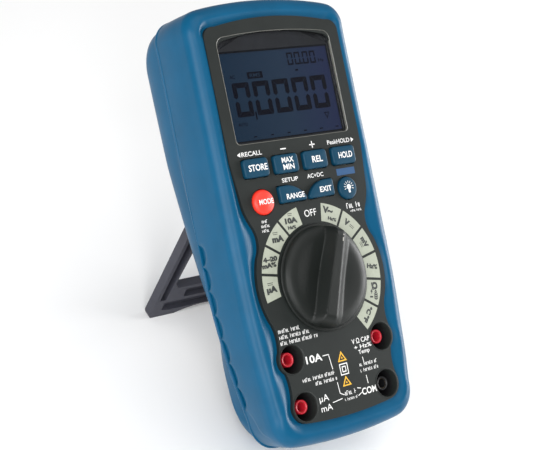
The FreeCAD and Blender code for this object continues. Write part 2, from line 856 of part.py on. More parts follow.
def make_rotor():
    low = s.rotor_top - s.rotor_thick
    disc = rod("rotor_disc", s.rotor_radius, s.rotor_thick, (0, s.dial_centre, low))
    hole = rod("rotor_screw_hole", 1.3, 6, (0, s.dial_centre, low - 1))
    tools = [hole]
    balls = []
    springs = []
    for index, angle in enumerate(DETENT_TURNS):
        x, y = spoke_point(11.0, angle)
        pocket = doc.addObject("Part::Cylinder", f"detent_pocket{index}")
        pocket.Radius = 0.8
        pocket.Height = 12
        way = FreeCAD.Rotation(FreeCAD.Vector(0, 0, 1), 90 + angle)
        pocket.Placement = FreeCAD.Placement(
            FreeCAD.Vector(x, y, low.number + 0.95), way.multiply(AXIS_TURNS["x"]))
        tools.append(pocket)
        ball = doc.addObject("Part::Sphere", f"detent_ball{index}")
        ball.Radius = 0.75
        x, y = spoke_point(s.rotor_radius.number - 0.55, angle)
        ball.Placement.Base = FreeCAD.Vector(x, y, low.number + 0.95)
        balls.append(ball)
        coil = doc.addObject("Part::Cylinder", f"detent_coil{index}")
        coil.Radius = 0.6
        coil.Height = 7.9
        x, y = spoke_point(11.1, angle)
        coil.Placement = FreeCAD.Placement(
            FreeCAD.Vector(x, y, low.number + 0.95), way.multiply(AXIS_TURNS["x"]))
        springs.append(coil)
    node("switch_rotor", group("switch_rotor", turned(cut("rotor_solid", disc, *tools))))
    node("detent_balls", group("detent_balls", turned(group("detent_ball_pair", *balls))))
    node("detent_springs", group("detent_springs", turned(group("detent_coils", *springs))))

    wipers = []
    for index, (radius, angle) in enumerate(((8.5, 0), (12.5, 15), (16.5, -12), (8.5, 180),
                                             (12.5, 192), (16.5, 165))):
        x, y = spoke_point(radius, angle)
        wipers.append(box(f"wiper{index}", (x - 1.6, y - 0.8, low - 0.6), (x + 1.6, y + 0.8, low)))
    node("rotor_contacts", group("rotor_contacts", turned(group("wiper_set", *wipers))))

    head = rod("rotor_screw_head", 2.6, 1.6, (0, s.dial_centre, low - 1.6))
    stem = rod("rotor_screw_stem", 1.15, 9.0, (0, s.dial_centre, low - 1.6))
    slot = box("rotor_screw_slot", (-2.6, s.dial_centre - 0.3, low - 2), (2.6, s.dial_centre + 0.3,
                                                                         low - 1.0))
    node("rotor_screw", cut("rotor_screw", fuse("rotor_screw_solid", head, stem), slot))

    rim = rod("detent_rim", s.rotor_radius + 2.6, 2.6, (0, s.dial_centre, -s.plate - 4.6))
    bore = rod("detent_bore", s.rotor_radius + 0.6, 4, (0, s.dial_centre, -s.plate - 5))
    notches = []
    for step in range(16):
        x, y = spoke_point(s.rotor_radius.number + 0.5, step * s.step_angle.number)
        notches.append(rod(f"notch{step}", 0.9, 4, (x, y, -s.plate - 5)))
    foot = cut("detent_foot", rod("detent_foot_out", s.rotor_radius + 2.6, 2.0,
                                  (0, s.dial_centre, -s.plate - 2.0)),
               rod("detent_foot_in", s.rotor_radius + 1.2, 3, (0, s.dial_centre, -s.plate - 2.5)))
    ring = cut("detent_band", rim, bore, *notches)
    node("detent_ring", fuse("detent_ring", ring, foot))


# Electronics ---------------------------------------------------------------------------------


def make_board():
    outline = both_sides([
        (13.5, -66.0),
        (13.5, -38.6),
        (s.board_half - 3.3, -38.6),
        (s.board_half, 0.0),
        (s.board_half, 80.0),
        (26.0, 80.0),
        (26.0, 93.0),
    ])
    board = slab("board_blank", s.board_top - s.board_thick, s.board_top, outline)
    tools = [rod("board_screw_access", 3.2, 4, (0, s.dial_centre, s.board_top - 3))]
    for index, (x, y) in enumerate(BOARD_SCREWS):
        tools.append(rod(f"board_hole{index}", 1.1, 4, (x, y, s.board_top - 3)))
    node("main_board", cut("main_board", board, *tools))

    below = s.board_top - s.board_thick
    chips = [box("chip_meter", (-9.0, 48.0, below - 1.6), (9.0, 66.0, below)),
             box("chip_micro", (12.0, 60.0, below - 1.4), (24.0, 72.0, below)),
             box("chip_memory", (-24.0, 54.0, below - 1.5), (-18.0, 60.0, below)),
             box("chip_converter", (-22.0, 70.0, below - 1.5), (-12.0, 76.0, below))]
    node("chips", group("chips", *chips))
    discs = []
    for index, x in enumerate((-6.5, 0.5, 7.5)):
        discs.append(rod(f"varistor{index}", 4.6, 3.4, (x - 1.7, -45.0, below - 4.6), "x"))
    node("varistors", group("varistors", *discs))
    cans = []
    for index, (x, y) in enumerate(((23.5, 22.0), (31.0, 22.0), (-18.0, 84.0))):
        cans.append(rod(f"capacitor{index}", 2.9, 7.0, (x, y, below - 7.0)))
    node("capacitors", group("capacitors", *cans))
    node("buzzer", cut("buzzer", rod("buzzer_can", 8.2, 4.6, (10.0, 84.0, below - 4.6)),
                       rod("buzzer_hole", 1.2, 2.0, (10.0, 84.0, below - 5.6))))
    node("thermistor", group("thermistor", rod("thermistor_disc", 4.0, 3.0,
                                               (-1.5, -60.0, below - 4.0), "x")))
    middle = (-1.1, -24.0, below)
    arch = cut("shunt", rod("shunt_arch", 3.6, 2.2, middle, "x"),
               rod("shunt_bore", 2.2, 2.2, middle, "x"),
               box("shunt_limit", (-3, -35, below), (3, -10, below + 9)))
    node("shunt", arch)


FUSES = {"fuse_10a": (-11.5, 5.15, 38.0), "fuse_ma": (11.5, 5.15, 35.0)}


def make_fuses():
    """Two cartridge fuses on the back of the board, in spring clips."""
    axis_depth = s.board_top - s.board_thick - 7.0
    clips = []
    for name, (x, radius, long) in FUSES.items():
        y = 1.0 + 19.0 - long / 2
        tube = rod(name + "_tube", radius - 0.4, long - 2, (x, y + 1, axis_depth), "y")
        caps = []
        for end, start in enumerate((y, y + long - 6.5)):
            caps.append(rod(f"{name}_cap{end}", radius, 6.5, (x, start, axis_depth), "y"))
            low = (x - radius - 1.4, start + 1.2, axis_depth - 2.0)
            high = (x + radius + 1.4, start + 5.2, s.board_top - s.board_thick)
            block = box(f"{name}_clip_block{end}", low, high)
            room = rod(f"{name}_clip_room{end}", radius, 8, (x, start - 1, axis_depth), "y")
            mouth = box(f"{name}_clip_mouth{end}", (x - radius + 0.6, start, axis_depth - 4),
                        (x + radius - 0.6, start + 6, axis_depth))
            clips.append(cut(f"{name}_clip{end}", block, room, mouth))
        node(name, fuse(name, tube, *caps))
    node("fuse_clips", group("fuse_clips", *clips))


def make_sockets():
    """Shrouded sockets for 4 mm plugs: a plastic cup round a brass tube."""
    for name, (x, y) in JACKS.items():
        cup = rod(f"cup_{name}", s.cup_radius, -s.plate - s.cup_bottom, (x, y, s.cup_bottom))
        well = cut(f"well_{name}",
                   rod(f"well_out_{name}", s.cup_bore, 40, (x, y, s.cup_bottom + 3.0)),
                   rod(f"well_in_{name}", s.sleeve_radius, 40, (x, y, s.cup_bottom + 3.0)))
        sleeve = rod(f"sleeve_{name}", s.sleeve_radius, s.sleeve_top - s.cup_bottom,
                     (x, y, s.cup_bottom))
        hole = rod(f"sleeve_bore_{name}", s.socket_radius, 60, (x, y, s.cup_bottom - 1))
        node(f"socket_cup_{name}",
             cut(f"socket_cup_{name}", fuse(f"cup_blank_{name}", cup, sleeve), well, hole))
        tube = rod(f"tube_{name}", s.socket_radius, s.socket_top - s.cup_bottom + 2.0,
                   (x, y, s.cup_bottom - 2.0))
        bore = rod(f"tube_bore_{name}", s.socket_bore, s.socket_depth + 1,
                   (x, y, s.socket_top - s.socket_depth))
        node(f"socket_{name}", cut(f"socket_{name}", tube, bore))
    strips = []
    low = s.cup_bottom - 2.8
    for name, (x, y) in JACKS.items():
        side = math.copysign(1, x.number)
        row = -48.0 if y.number > -60 else -62.0
        ends = sorted((side * 12.0, side * 12.8))
        riser = box(f"riser_{name}", (ends[0], row - 2.0, low),
                    (ends[1], row + 2.0, s.board_top - s.board_thick))
        loop = [(12.0, row - 2.0), (22.5, y - 2.0), (22.5, y + 2.0), (12.0, row + 2.0)]
        if side < 0:
            loop = mirrored(loop)
        strips.append(fuse(f"link_{name}", riser, slab(f"strap_{name}", low, low + 0.8, loop)))
    node("socket_links", group("socket_links", *strips))


# Battery -------------------------------------------------------------------------------------


def make_battery():
    base = s.recess_floor + 2.0
    half_wide = s.battery_wide / 2
    half_tall = s.battery_tall / 2
    low = (-half_wide, s.battery_row - half_tall, base)
    high = (half_wide - 2.6, s.battery_row + half_tall, base + s.battery_deep)
    cell = box("battery_block", low, high)
    terminals = []
    for index, offset in enumerate((-6.4, 6.4)):
        terminals.append(rod(f"terminal{index}", 2.9, 2.6,
                             (half_wide - 2.6, s.battery_row + offset, base + 9.0), "x"))
    node("battery", fuse("battery", cell, *terminals))
    plate = box("snap_plate", (half_wide + 0.1, s.battery_row - 11.0, base + 3.5),
                (half_wide + 1.7, s.battery_row + 11.0, base + 14.5))
    node("battery_contact", group("battery_contact", plate))

    floor = s.recess_floor
    seat = floor + s.door_thick
    plate = slab("door_plate", floor, seat, door_loop(0))
    lip = cut("door_lip", battery_box("door_lip_out", 0.2, seat, seat + 0.8),
              battery_box("door_lip_in", -1.3, seat - 1, seat + 2))
    tools = []
    for index, (x, y) in enumerate(DOOR_SCREWS):
        tools.append(rod(f"door_hole{index}", 1.1, 4, (x, y, floor - 1)))
        tools.append(rod(f"door_counterbore{index}", 2.1, 1.8, (x, y, floor - 1)))
    node("battery_door", cut("battery_door", fuse("door_solid", plate, lip), *tools))
    node("door_gasket", seal_loop("door_gasket", seat, seat + 0.7))


# Tilt stand ----------------------------------------------------------------------------------


def make_stand():
    """The stand, drawn folded flat and then swung open about its pins."""
    low = s.hinge_depth - s.stand_thick / 2
    high = s.hinge_depth + s.stand_thick / 2
    foot = s.hinge_row - s.stand_long
    top = s.hinge_row
    window_top = s.hinge_row - 9.0
    window_foot = foot + 20.3
    frame = both_sides([
        (21.0, foot, -46.0, 6.0),
        (s.stand_foot_half, foot + 4.0),
        (s.stand_top_half, top),
    ])
    blank = slab("stand_blank", low, high, frame)
    barrel = rod("stand_barrel", s.stand_thick / 2, s.stand_top_half * 2,
                 (-s.stand_top_half, s.hinge_row, s.hinge_depth), "x")
    pins = rod("stand_pins", s.pin_radius, 60.0, (-30.0, s.hinge_row, s.hinge_depth), "x")
    window = slab("stand_window", low - 1, high + 1, rounded_trapezium(
        s.window_top_half, s.window_foot_half, window_foot, window_top))
    rim = s.stand_rim
    arms = []
    for side in (-1, 1):
        inner_top, outer_top = s.window_top_half + rim, s.stand_top_half - rim
        inner_foot, outer_foot = s.window_foot_half + rim, s.stand_foot_half - rim
        loop = [
            (inner_foot, foot + 13.0),
            (outer_foot - 0.6, foot + 13.0),
            (outer_top + 0.4, window_top + 2.0),
            (inner_top, window_top + 2.0),
        ]
        if side < 0:
            loop = [(-as_size(x), y) for x, y in reversed(loop)]
        arms.append(slab(f"stand_channel{'LR'[side > 0]}", low + s.stand_skin, high + 1, loop))
    shelf = slab("stand_shelf", low + s.stand_skin, high + 1, both_sides([
        (20.5, foot + 5.6),
        (24.5, foot + 6.4),
        (24.0, foot + 11.2),
    ]))
    ledge = slab("stand_ledge", low + s.stand_skin, high + 1,
                 rounded((-14.5, foot + 13.0), (14.5, foot + 18.4), 1.0))
    solid = cut("stand_solid", fuse("stand_body", blank, barrel, pins), window, shelf, ledge,
                *arms)
    hinge = FreeCAD.Vector(0, s.hinge_row.number, s.hinge_depth.number)
    swing = FreeCAD.Rotation(FreeCAD.Vector(1, 0, 0), s.stand_open.number)
    solid.Placement = FreeCAD.Placement(FreeCAD.Vector(), swing, hinge)
    node("tilt_stand", cut("tilt_stand", solid, table_block("stand_table")))


def rounded_trapezium(top_half, foot_half, foot, top):
    """The stand's window: a little wider at the foot, with round corners."""
    return both_sides([
        (foot_half - 2.5, foot),
        (foot_half, foot + 2.5),
        (top_half, top - 2.5),
        (top_half - 2.5, top),
    ])


# Assembly ------------------------------------------------------------------------------------

make_front_case()
make_front_overmould()
make_rear_case()
make_rear_overmould()
make_case_gasket()
make_screws()
make_display()
make_keys()
make_knob()
make_rotor()
make_board()
make_fuses()
make_sockets()
make_battery()
make_stand()

doc.recompute()
lean = FreeCAD.Rotation(FreeCAD.Vector(1, 0, 0), s.lean_angle.number)
pose = FreeCAD.Placement(FreeCAD.Vector(0, s.origin_forward.number, s.table_drop.number), lean)
for item in nodes.values():
    item.Placement = pose.multiply(item.Placement) if item.TypeId == "Part::Compound" else pose
doc.recompute()

for item in doc.Objects:
    if "Invalid" in item.State or "Error" in item.State:
        raise RuntimeError(f"{item.Label} did not compute")
for name, item in nodes.items():
    if item.Shape.isNull() or not item.Shape.isValid():
        raise RuntimeError(f"{name} has no valid shape")

os.makedirs("parts", exist_ok=True)
for name, item in nodes.items():
    item.Shape.exportStep(f"parts/{name}.step")

whole = Part.makeCompound([item.Shape for item in nodes.values()])
limits = whole.optimalBoundingBox()
print(f"{len(nodes)} sub-parts, {limits.XLength:.2f} x {limits.YLength:.2f} x {limits.ZLength:.2f}")
print(f"y {limits.YMin:.3f} to {limits.YMax:.3f}, z {limits.ZMin:.3f} to {limits.ZMax:.3f}")
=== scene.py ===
"""A handheld digital multimeter leaning back on its tilt stand.

Lengths are in millimetres in the meter's own axes, x to the right, y up along the casing and
z out of the face, with z = 0 on the black panel.  METER takes them to the frame's metres.
"""
import json
import math

import bmesh
import bpy
from mathutils import Matrix, Vector


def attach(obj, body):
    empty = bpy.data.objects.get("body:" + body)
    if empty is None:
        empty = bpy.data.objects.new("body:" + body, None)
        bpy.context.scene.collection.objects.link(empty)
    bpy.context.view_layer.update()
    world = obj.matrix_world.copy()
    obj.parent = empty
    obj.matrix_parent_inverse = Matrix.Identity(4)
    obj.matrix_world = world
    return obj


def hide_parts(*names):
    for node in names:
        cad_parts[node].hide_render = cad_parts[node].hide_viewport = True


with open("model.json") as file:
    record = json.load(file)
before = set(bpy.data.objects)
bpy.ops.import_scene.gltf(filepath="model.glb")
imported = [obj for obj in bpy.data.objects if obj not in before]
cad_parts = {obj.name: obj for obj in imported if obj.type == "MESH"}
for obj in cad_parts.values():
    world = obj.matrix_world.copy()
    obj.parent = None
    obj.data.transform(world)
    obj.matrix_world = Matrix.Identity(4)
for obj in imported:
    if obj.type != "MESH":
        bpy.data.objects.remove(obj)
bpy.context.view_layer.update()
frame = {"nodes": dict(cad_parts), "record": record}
NODES = frame["nodes"]
MM = 0.001


# The meter's own axes ------------------------------------------------------------------------

KNOB_JOINT = next(joint for joint in frame["record"]["behaviour"]["joints"]
                  if joint["name"] == "knob_turn")
DIAL = Vector((0.0, -18.15, 5.0))


def meter_matrix():
    """The meter's axes: z along the knob's axis, x across, with the dial at its known place."""
    out = Vector(KNOB_JOINT["axis"]).normalized()
    across = Vector((1.0, 0.0, 0.0))
    up = out.cross(across)
    turn = Matrix((across, up, out)).transposed()
    place = Vector(KNOB_JOINT["pos_m"]) - turn @ (DIAL * MM)
    return Matrix.Translation(place) @ turn.to_4x4()


METER = meter_matrix()
TO_METER = METER.inverted()


def meter_box(name):
    """Lowest and highest corner of a node in the meter's axes, in millimetres."""
    points = [TO_METER @ vertex.co / MM for vertex in NODES[name].data.vertices]
    low = Vector(min(point[axis] for point in points) for axis in range(3))
    high = Vector(max(point[axis] for point in points) for axis in range(3))
    return low, high


def middle_of(name):
    low, high = meter_box(name)
    return (low + high) / 2


# Materials -----------------------------------------------------------------------------------


class Nodes:
    """Builds a material's nodes with one call each."""

    def __init__(self, name, colour, roughness):
        self.material = bpy.data.materials.new(name)
        self.material.use_nodes = True
        self.tree = self.material.node_tree
        self.shader = self.tree.nodes["Principled BSDF"]
        self.shader.inputs["Base Color"].default_value = (*colour, 1.0)
        self.shader.inputs["Roughness"].default_value = roughness
        self.place = self.add("ShaderNodeTexCoord").outputs["Object"]

    def add(self, kind, **values):
        item = self.tree.nodes.new(kind)
        for name, value in values.items():
            setattr(item, name, value)
        return item

    def link(self, source, target):
        self.tree.links.new(source, target)

    def noise(self, scale, detail=3.0, roughness=0.6):
        item = self.add("ShaderNodeTexNoise")
        item.inputs["Scale"].default_value = scale
        item.inputs["Detail"].default_value = detail
        item.inputs["Roughness"].default_value = roughness
        self.link(self.place, item.inputs["Vector"])
        return item.outputs["Fac"]

    def ramp(self, source, *stops):
        """A colour ramp: each stop is (place, colour)."""
        item = self.add("ShaderNodeValToRGB")
        elements = item.color_ramp.elements
        while len(elements) < len(stops):
            elements.new(0.5)
        for element, (place, colour) in zip(elements, stops):
            element.position = place
            element.color = (*colour, 1.0)
        self.link(source, item.inputs["Fac"])
        return item.outputs["Color"]

    def vary_colour(self, source, low, high):
        self.link(self.ramp(source, (0.3, low), (0.7, high)), self.shader.inputs["Base Color"])

    def vary_roughness(self, source, low, high):
        item = self.add("ShaderNodeMapRange")
        item.inputs["To Min"].default_value = low
        item.inputs["To Max"].default_value = high
        self.link(source, item.inputs["Value"])
        self.link(item.outputs["Result"], self.shader.inputs["Roughness"])

    def bump(self, source, strength, depth):
        item = self.add("ShaderNodeBump")
        item.inputs["Strength"].default_value = strength
        item.inputs["Distance"].default_value = depth * MM
        self.link(source, item.inputs["Height"])
        self.link(item.outputs["Normal"], self.shader.inputs["Normal"])


def shaded(colour, factor):
    return tuple(min(1.0, part * factor) for part in colour)


def moulded(name, colour, roughness, grain=2600.0, depth=0.02, mottle=0.06, coat=0.0,
            shine=0.5):
    """Moulded plastic or rubber: a fine grain, slight mottling and handling marks in the gloss."""
    nodes = Nodes(name, colour, roughness)
    cloud = nodes.noise(60.0, 4.0)
    nodes.vary_colour(cloud, shaded(colour, 1.0 - mottle), shaded(colour, 1.0 + mottle))
    nodes.vary_roughness(nodes.noise(220.0, 5.0), roughness - 0.05, roughness + 0.07)
    nodes.bump(nodes.noise(grain, 2.0, 0.5), 0.35, depth)
    nodes.shader.inputs["Specular IOR Level"].default_value = shine
    nodes.shader.inputs["Coat Weight"].default_value = coat
    nodes.shader.inputs["Coat Roughness"].default_value = 0.12
    return nodes.material


def metal(name, colour, roughness):
    """Turned or stamped metal with fine streaks."""
    nodes = Nodes(name, colour, roughness)
    nodes.shader.inputs["Metallic"].default_value = 1.0
    streaks = nodes.noise(900.0, 6.0, 0.7)
    nodes.vary_colour(streaks, shaded(colour, 0.85), shaded(colour, 1.1))
    nodes.vary_roughness(streaks, roughness - 0.08, roughness + 0.12)
    nodes.bump(streaks, 0.2, 0.01)
    return nodes.material


def ink(name, colour, shine=0.5):
    """Screen-printed ink."""
    nodes = Nodes(name, colour, 0.5)
    nodes.shader.inputs["Specular IOR Level"].default_value = shine
    cloud = nodes.noise(700.0, 3.0)
    nodes.vary_colour(cloud, shaded(colour, 0.93), shaded(colour, 1.04))
    nodes.vary_roughness(cloud, 0.42, 0.58)
    return nodes.material


def window_glass():
    """The clear cover over the display: mostly seen through, with a faint reflection."""
    nodes = Nodes("window_glass", (0.9, 0.93, 0.97), 0.08)
    clear = nodes.add("ShaderNodeBsdfTransparent")
    clear.inputs["Color"].default_value = (0.86, 0.88, 0.92, 1.0)
    gloss = nodes.add("ShaderNodeBsdfGlossy")
    gloss.inputs["Color"].default_value = (0.35, 0.35, 0.35, 1.0)
    gloss.inputs["Roughness"].default_value = 0.06
    edge = nodes.add("ShaderNodeFresnel")
    edge.inputs["IOR"].default_value = 1.4
    mix = nodes.add("ShaderNodeMixShader")
    nodes.link(edge.outputs["Fac"], mix.inputs["Fac"])
    nodes.link(clear.outputs["BSDF"], mix.inputs[1])
    nodes.link(gloss.outputs["BSDF"], mix.inputs[2])
    output = nodes.tree.nodes["Material Output"]
    nodes.link(mix.outputs["Shader"], output.inputs["Surface"])
    return nodes.material


def display_glass():
    """The unlit display: slate blue, turning violet towards its right edge."""
    nodes = Nodes("display_glass", (0.04, 0.06, 0.11), 0.3)
    split = nodes.add("ShaderNodeSeparateXYZ")
    nodes.link(nodes.place, split.inputs["Vector"])
    across = nodes.add("ShaderNodeMapRange")
    across.inputs["From Min"].default_value = -0.029
    across.inputs["From Max"].default_value = 0.029
    nodes.link(split.outputs["X"], across.inputs["Value"])
    tint = nodes.ramp(across.outputs["Result"],
                      (0.0, (0.018, 0.054, 0.096)),
                      (0.55, (0.044, 0.084, 0.136)),
                      (1.0, (0.044, 0.060, 0.150)))
    nodes.link(tint, nodes.shader.inputs["Base Color"])
    nodes.shader.inputs["Specular IOR Level"].default_value = 0.1
    nodes.bump(nodes.noise(4000.0, 1.0), 0.1, 0.005)
    return nodes.material


BLUE = (0.001, 0.076, 0.164)
MAT = {
    "rubber": moulded("blue_rubber", BLUE, 0.34, 2200.0, 0.03, 0.08, shine=0.2),
    "panel": moulded("panel_plastic", (0.016, 0.019, 0.018), 0.42, 3000.0, 0.02, 0.10, shine=0.2),
    "rear": moulded("rear_plastic", (0.020, 0.021, 0.022), 0.5, 1800.0, 0.04, 0.10),
    "knob": moulded("knob_plastic", (0.006, 0.008, 0.007), 0.44, 2600.0, 0.006, 0.10, 0.0, 0.3),
    "stand": moulded("stand_plastic", (0.042, 0.043, 0.056), 0.5, 1500.0, 0.05, 0.12, shine=0.3),
    "key": moulded("key_rubber", (0.002, 0.042, 0.082), 0.42, 2600.0, 0.01, 0.06, shine=0.2),
    "red_key": moulded("mode_rubber", (0.86, 0.035, 0.018), 0.42, 2600.0, 0.01, 0.05),
    "red": moulded("red_socket_plastic", (0.52, 0.012, 0.028), 0.34, 2600.0, 0.01, 0.06, 0.2),
    "black": moulded("black_socket_plastic", (0.011, 0.011, 0.012), 0.4, 2600.0, 0.01, 0.08),
    "brass": metal("socket_brass", (0.72, 0.52, 0.25), 0.3),
    "steel": metal("screw_steel", (0.55, 0.55, 0.57), 0.32),
    "copper": metal("contact_alloy", (0.75, 0.42, 0.25), 0.35),
    "inner": moulded("inner_plastic", (0.62, 0.62, 0.60), 0.5),
    "board": moulded("board_mask", (0.010, 0.09, 0.035), 0.35, 900.0, 0.02, 0.15),
    "part": moulded("component_body", (0.02, 0.02, 0.022), 0.5),
    "ceramic": moulded("fuse_ceramic", (0.70, 0.68, 0.62), 0.4),
    "seal": moulded("seal_rubber", (0.05, 0.05, 0.05), 0.6),
    "window": window_glass(),
    "display": display_glass(),
    "white": ink("white_ink", (0.80, 0.80, 0.79)),
    "dark": ink("dark_ink", (0.022, 0.026, 0.026)),
    "sector": ink("dial_ink", (0.36, 0.385, 0.31)),
    "amber": ink("amber_ink", (0.75, 0.42, 0.02)),
    "segment": ink("display_segment", (0.001, 0.002, 0.012), 0.05),
    "mask": ink("window_mask", (0.010, 0.012, 0.015), 0.1),
    "tile": ink("blue_ink", (0.004, 0.060, 0.17)),
    # The light grey patch near the knob ridge's tip is a painted highlight.
    "mark": ink("ridge_tip_painted_highlight", (0.35, 0.34, 0.30)),
    # The window rim's light grey is a painted highlight. It stands in for the glints along the
    # window's bevelled edge, and the rim's gloss adds real glints as well.
    "rim": moulded("window_rim_painted_glint", (0.13, 0.13, 0.115), 0.25, 2600.0, 0.005, 0.05, 0.4),
}


# Making pieces -------------------------------------------------------------------------------


def placed(name, data, place=METER):
    """A new object in the scene, in the meter's axes unless a place is given."""
    item = bpy.data.objects.new(name, data)
    bpy.context.scene.collection.objects.link(item)
    item.matrix_world = place
    return item


def piece(name, mesh, material, body="meter", smooth=35.0):
    """A finished object that rides on a body; sharp creases stay sharp."""
    item = placed(name, mesh)
    mesh.materials.clear()
    mesh.materials.append(MAT[material])
    mesh.shade_smooth()
    mesh.set_sharp_from_angle(angle=math.radians(smooth))
    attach(item, body)
    return item


def mesh_of(name, points, faces):
    """A mesh from millimetre points."""
    mesh = bpy.data.meshes.new(name)
    mesh.from_pydata([Vector(point) * MM for point in points], [], faces)
    mesh.update()
    shape = bmesh.new()
    shape.from_mesh(mesh)
    bmesh.ops.recalc_face_normals(shape, faces=shape.faces)
    shape.to_mesh(mesh)
    shape.free()
    return mesh


def bridge(rings, cap_first=False, cap_last=False, joined=False):
    """Faces between successive closed rings of equal length, numbered as the rings are listed.

    Joined takes the last ring back to the first."""
    count = len(rings[0])
    faces = []
    for ring in range(len(rings) - 1 + joined):
        base = ring * count
        over = (ring + 1) % len(rings) * count
        for index in range(count):
            after = (index + 1) % count
            faces.append((base + index, base + after, over + after, over + index))
    if cap_first:
        faces.append(tuple(range(count - 1, -1, -1)))
    if cap_last:
        last = (len(rings) - 1) * count
        faces.append(tuple(range(last, last + count)))
    return faces


def level_ring(loop, z):
    """A flat loop's points at one height."""
    return [(point[0], point[1], z) for point in loop]


def shell(name, rings, **options):
    """A mesh through rings of points."""
    points = [point for ring in rings for point in ring]
    return mesh_of(name, points, bridge(rings, **options))


def ease(value):
    """Smooth step from 0 to 1."""
    value = min(max(value, 0.0), 1.0)
    return value * value * (3 - 2 * value)


# Outlines ------------------------------------------------------------------------------------


def arc(start, end, radius, count):
    """Points from start towards end along an arc; a positive radius bulges to the right."""
    start, end = Vector(start), Vector(end)
    middle = (start + end) / 2
    chord = end - start
    left = Vector((-chord.y, chord.x)).normalized()
    rise = math.sqrt(max(radius * radius - chord.length_squared / 4, 0.0))
    centre = middle + left * math.copysign(rise, radius)
    first = math.atan2(start.y - centre.y, start.x - centre.x)
    last = math.atan2(end.y - centre.y, end.x - centre.x)
    if radius > 0 and last < first:
        last += math.tau
    if radius < 0 and last > first:
        last -= math.tau
    size = abs(radius)
    points = []
    for step in range(count):
        angle = first + (last - first) * step / count
        points.append(centre + Vector((math.cos(angle), math.sin(angle))) * size)
    return points


def line(start, end, count):
    start, end = Vector(start), Vector(end)
    return [start.lerp(end, step / count) for step in range(count)]


def path(*corners):
    """Points from corner to corner; each is (place, the radius to the next or None, count)."""
    points = []
    for (start, radius, count), (end, _, _) in zip(corners, corners[1:]):
        points += arc(start, end, radius, count) if radius else line(start, end, count)
    return points + [Vector(corners[-1][0])]


def both_sides(right):
    """Close a right-hand half, listed from the bottom centre to the top centre."""
    left = [Vector((-point.x, point.y)) for point in reversed(right[1:-1])]
    return right + left


def softened(loop, rounds):
    """A closed loop with its small kinks averaged out."""
    for _ in range(rounds):
        loop = [(loop[index - 1] + loop[index] * 2 + loop[(index + 1) % len(loop)]) / 4
                for index in range(len(loop))]
    return loop


# Steps along each stretch of the casing's outline: bottom, corner, side, shoulder, top.
STEPS = (26, 30, 170, 26, 30)


def front_half(y):
    """Half the front's width at a height; it narrows a little below the dial."""
    low = max(0.0, -4.0 - y)
    return 41.9 - low * low / 1100.0


def rear_half(y):
    """Half the back's width at a height."""
    low = max(0.0, -25.0 - y)
    return 40.8 - 0.0759 * max(0.0, 48.0 - y) - 0.0011 * low * low


def casing_outline(half, foot_half, floor, shoulder_half, head):
    """The casing's outline from its width at each height and its four ends."""
    bottom, corner, side, shoulder, top = STEPS
    foot_y = -71.0
    side_top = 87.0
    rise = 1.8
    right = path(((0.0, floor), 234.0, bottom), ((foot_half, floor + rise), 11.8, corner),
                 ((half(foot_y), foot_y), None, 0))[:-1]
    right += [Vector((half(y), y)) for y in
              (foot_y + (side_top - foot_y) * step / side for step in range(side))]
    right += path(((half(side_top), side_top), 9.8, shoulder),
                  ((shoulder_half, head - 3.0), 197.0, top), ((0.0, head), None, 0))
    return softened(both_sides(right), 10)


def front_outline():
    return casing_outline(front_half, 29.0, -85.1, 34.5, 101.6)


def parting_outline():
    """The outline where the halves meet, drawn in towards the bottom."""
    def half(y):
        low = max(0.0, -10.0 - y)
        return front_half(y) - 0.0009 * low * low
    return casing_outline(half, 26.4, -84.7, 34.5, 101.6)


def rear_outline():
    return casing_outline(rear_half, 22.8, -84.0, 33.7, 100.4)


def drawn_in(loop, gap):
    """The loop moved inwards by a distance, which may be a function of the height."""
    moved = []
    for index, point in enumerate(loop):
        along = loop[(index + 1) % len(loop)] - loop[index - 1]
        out = Vector((along.y, -along.x)).normalized()
        moved.append(point - out * (gap(point.y) if callable(gap) else gap))
    return moved


def panel_outline(gap):
    """The hole in the rubber round the black panel, in step with the casing's outline."""
    bottom, corner, _, shoulder, top = STEPS
    lobe = 6.7
    right = path(
        ((0.0, -76.0), 190.0, bottom), ((23.2, -74.6), lobe, corner),
        ((28.4, -65.2), -22.9, 10), ((28.6, -53.2), lobe, 14), ((30.0, -44.3), -19.4, 12),
        ((30.4, -33.0), 33.83, 30), ((31.3, -5.3), -12.8, 16), ((30.7, 8.1), 28.0, 14),
        ((33.8, 20.2), None, 14), ((35.3, 34.3), None, 60), ((35.3, 85.5), 5.0, shoulder),
        ((29.5, 90.2), 146.0, top), ((0.0, 93.2), None, 0))
    return drawn_in(both_sides(right), -gap)


def bay_outline():
    """The hollow in the back that takes the folded stand, in step with the casing's outline."""
    bottom, corner, side, shoulder, top = STEPS
    return both_sides(path(
        ((0.0, -51.1), None, bottom), ((28.9, -51.1), 1.5, corner), ((30.4, -49.6), None, side),
        ((26.6, 25.6), 1.5, shoulder), ((25.1, 27.1), None, top), ((0.0, 27.1), None, 0)))


# Casing --------------------------------------------------------------------------------------

PARTING = -24.0
DRAFT = 8.0
GRIP_TOP = 6.0
GRIP_FOOT = -66.0
GRIP_PITCH = 10.2
GRIP_DEPTH = 1.4
SIDE_RINGS = 18
ROLL_STEPS = 26
FRONT_ROLL = 6.0


def grip_dent(y, z):
    """How far the finger scallops above the parting line cut into the side."""
    if not GRIP_FOOT < y < GRIP_TOP:
        return 0.0
    scallop = abs(math.sin((y - GRIP_TOP) / GRIP_PITCH * math.pi)) ** 0.6
    height = 1.0 + 4.6 * scallop
    depth = ease(1.0 - (z - PARTING) / height) * ease(scallop * 1.4)
    fade = ease((GRIP_TOP - y) / 3.0) * ease((y - GRIP_FOOT) / 3.0)
    return GRIP_DEPTH * depth * fade


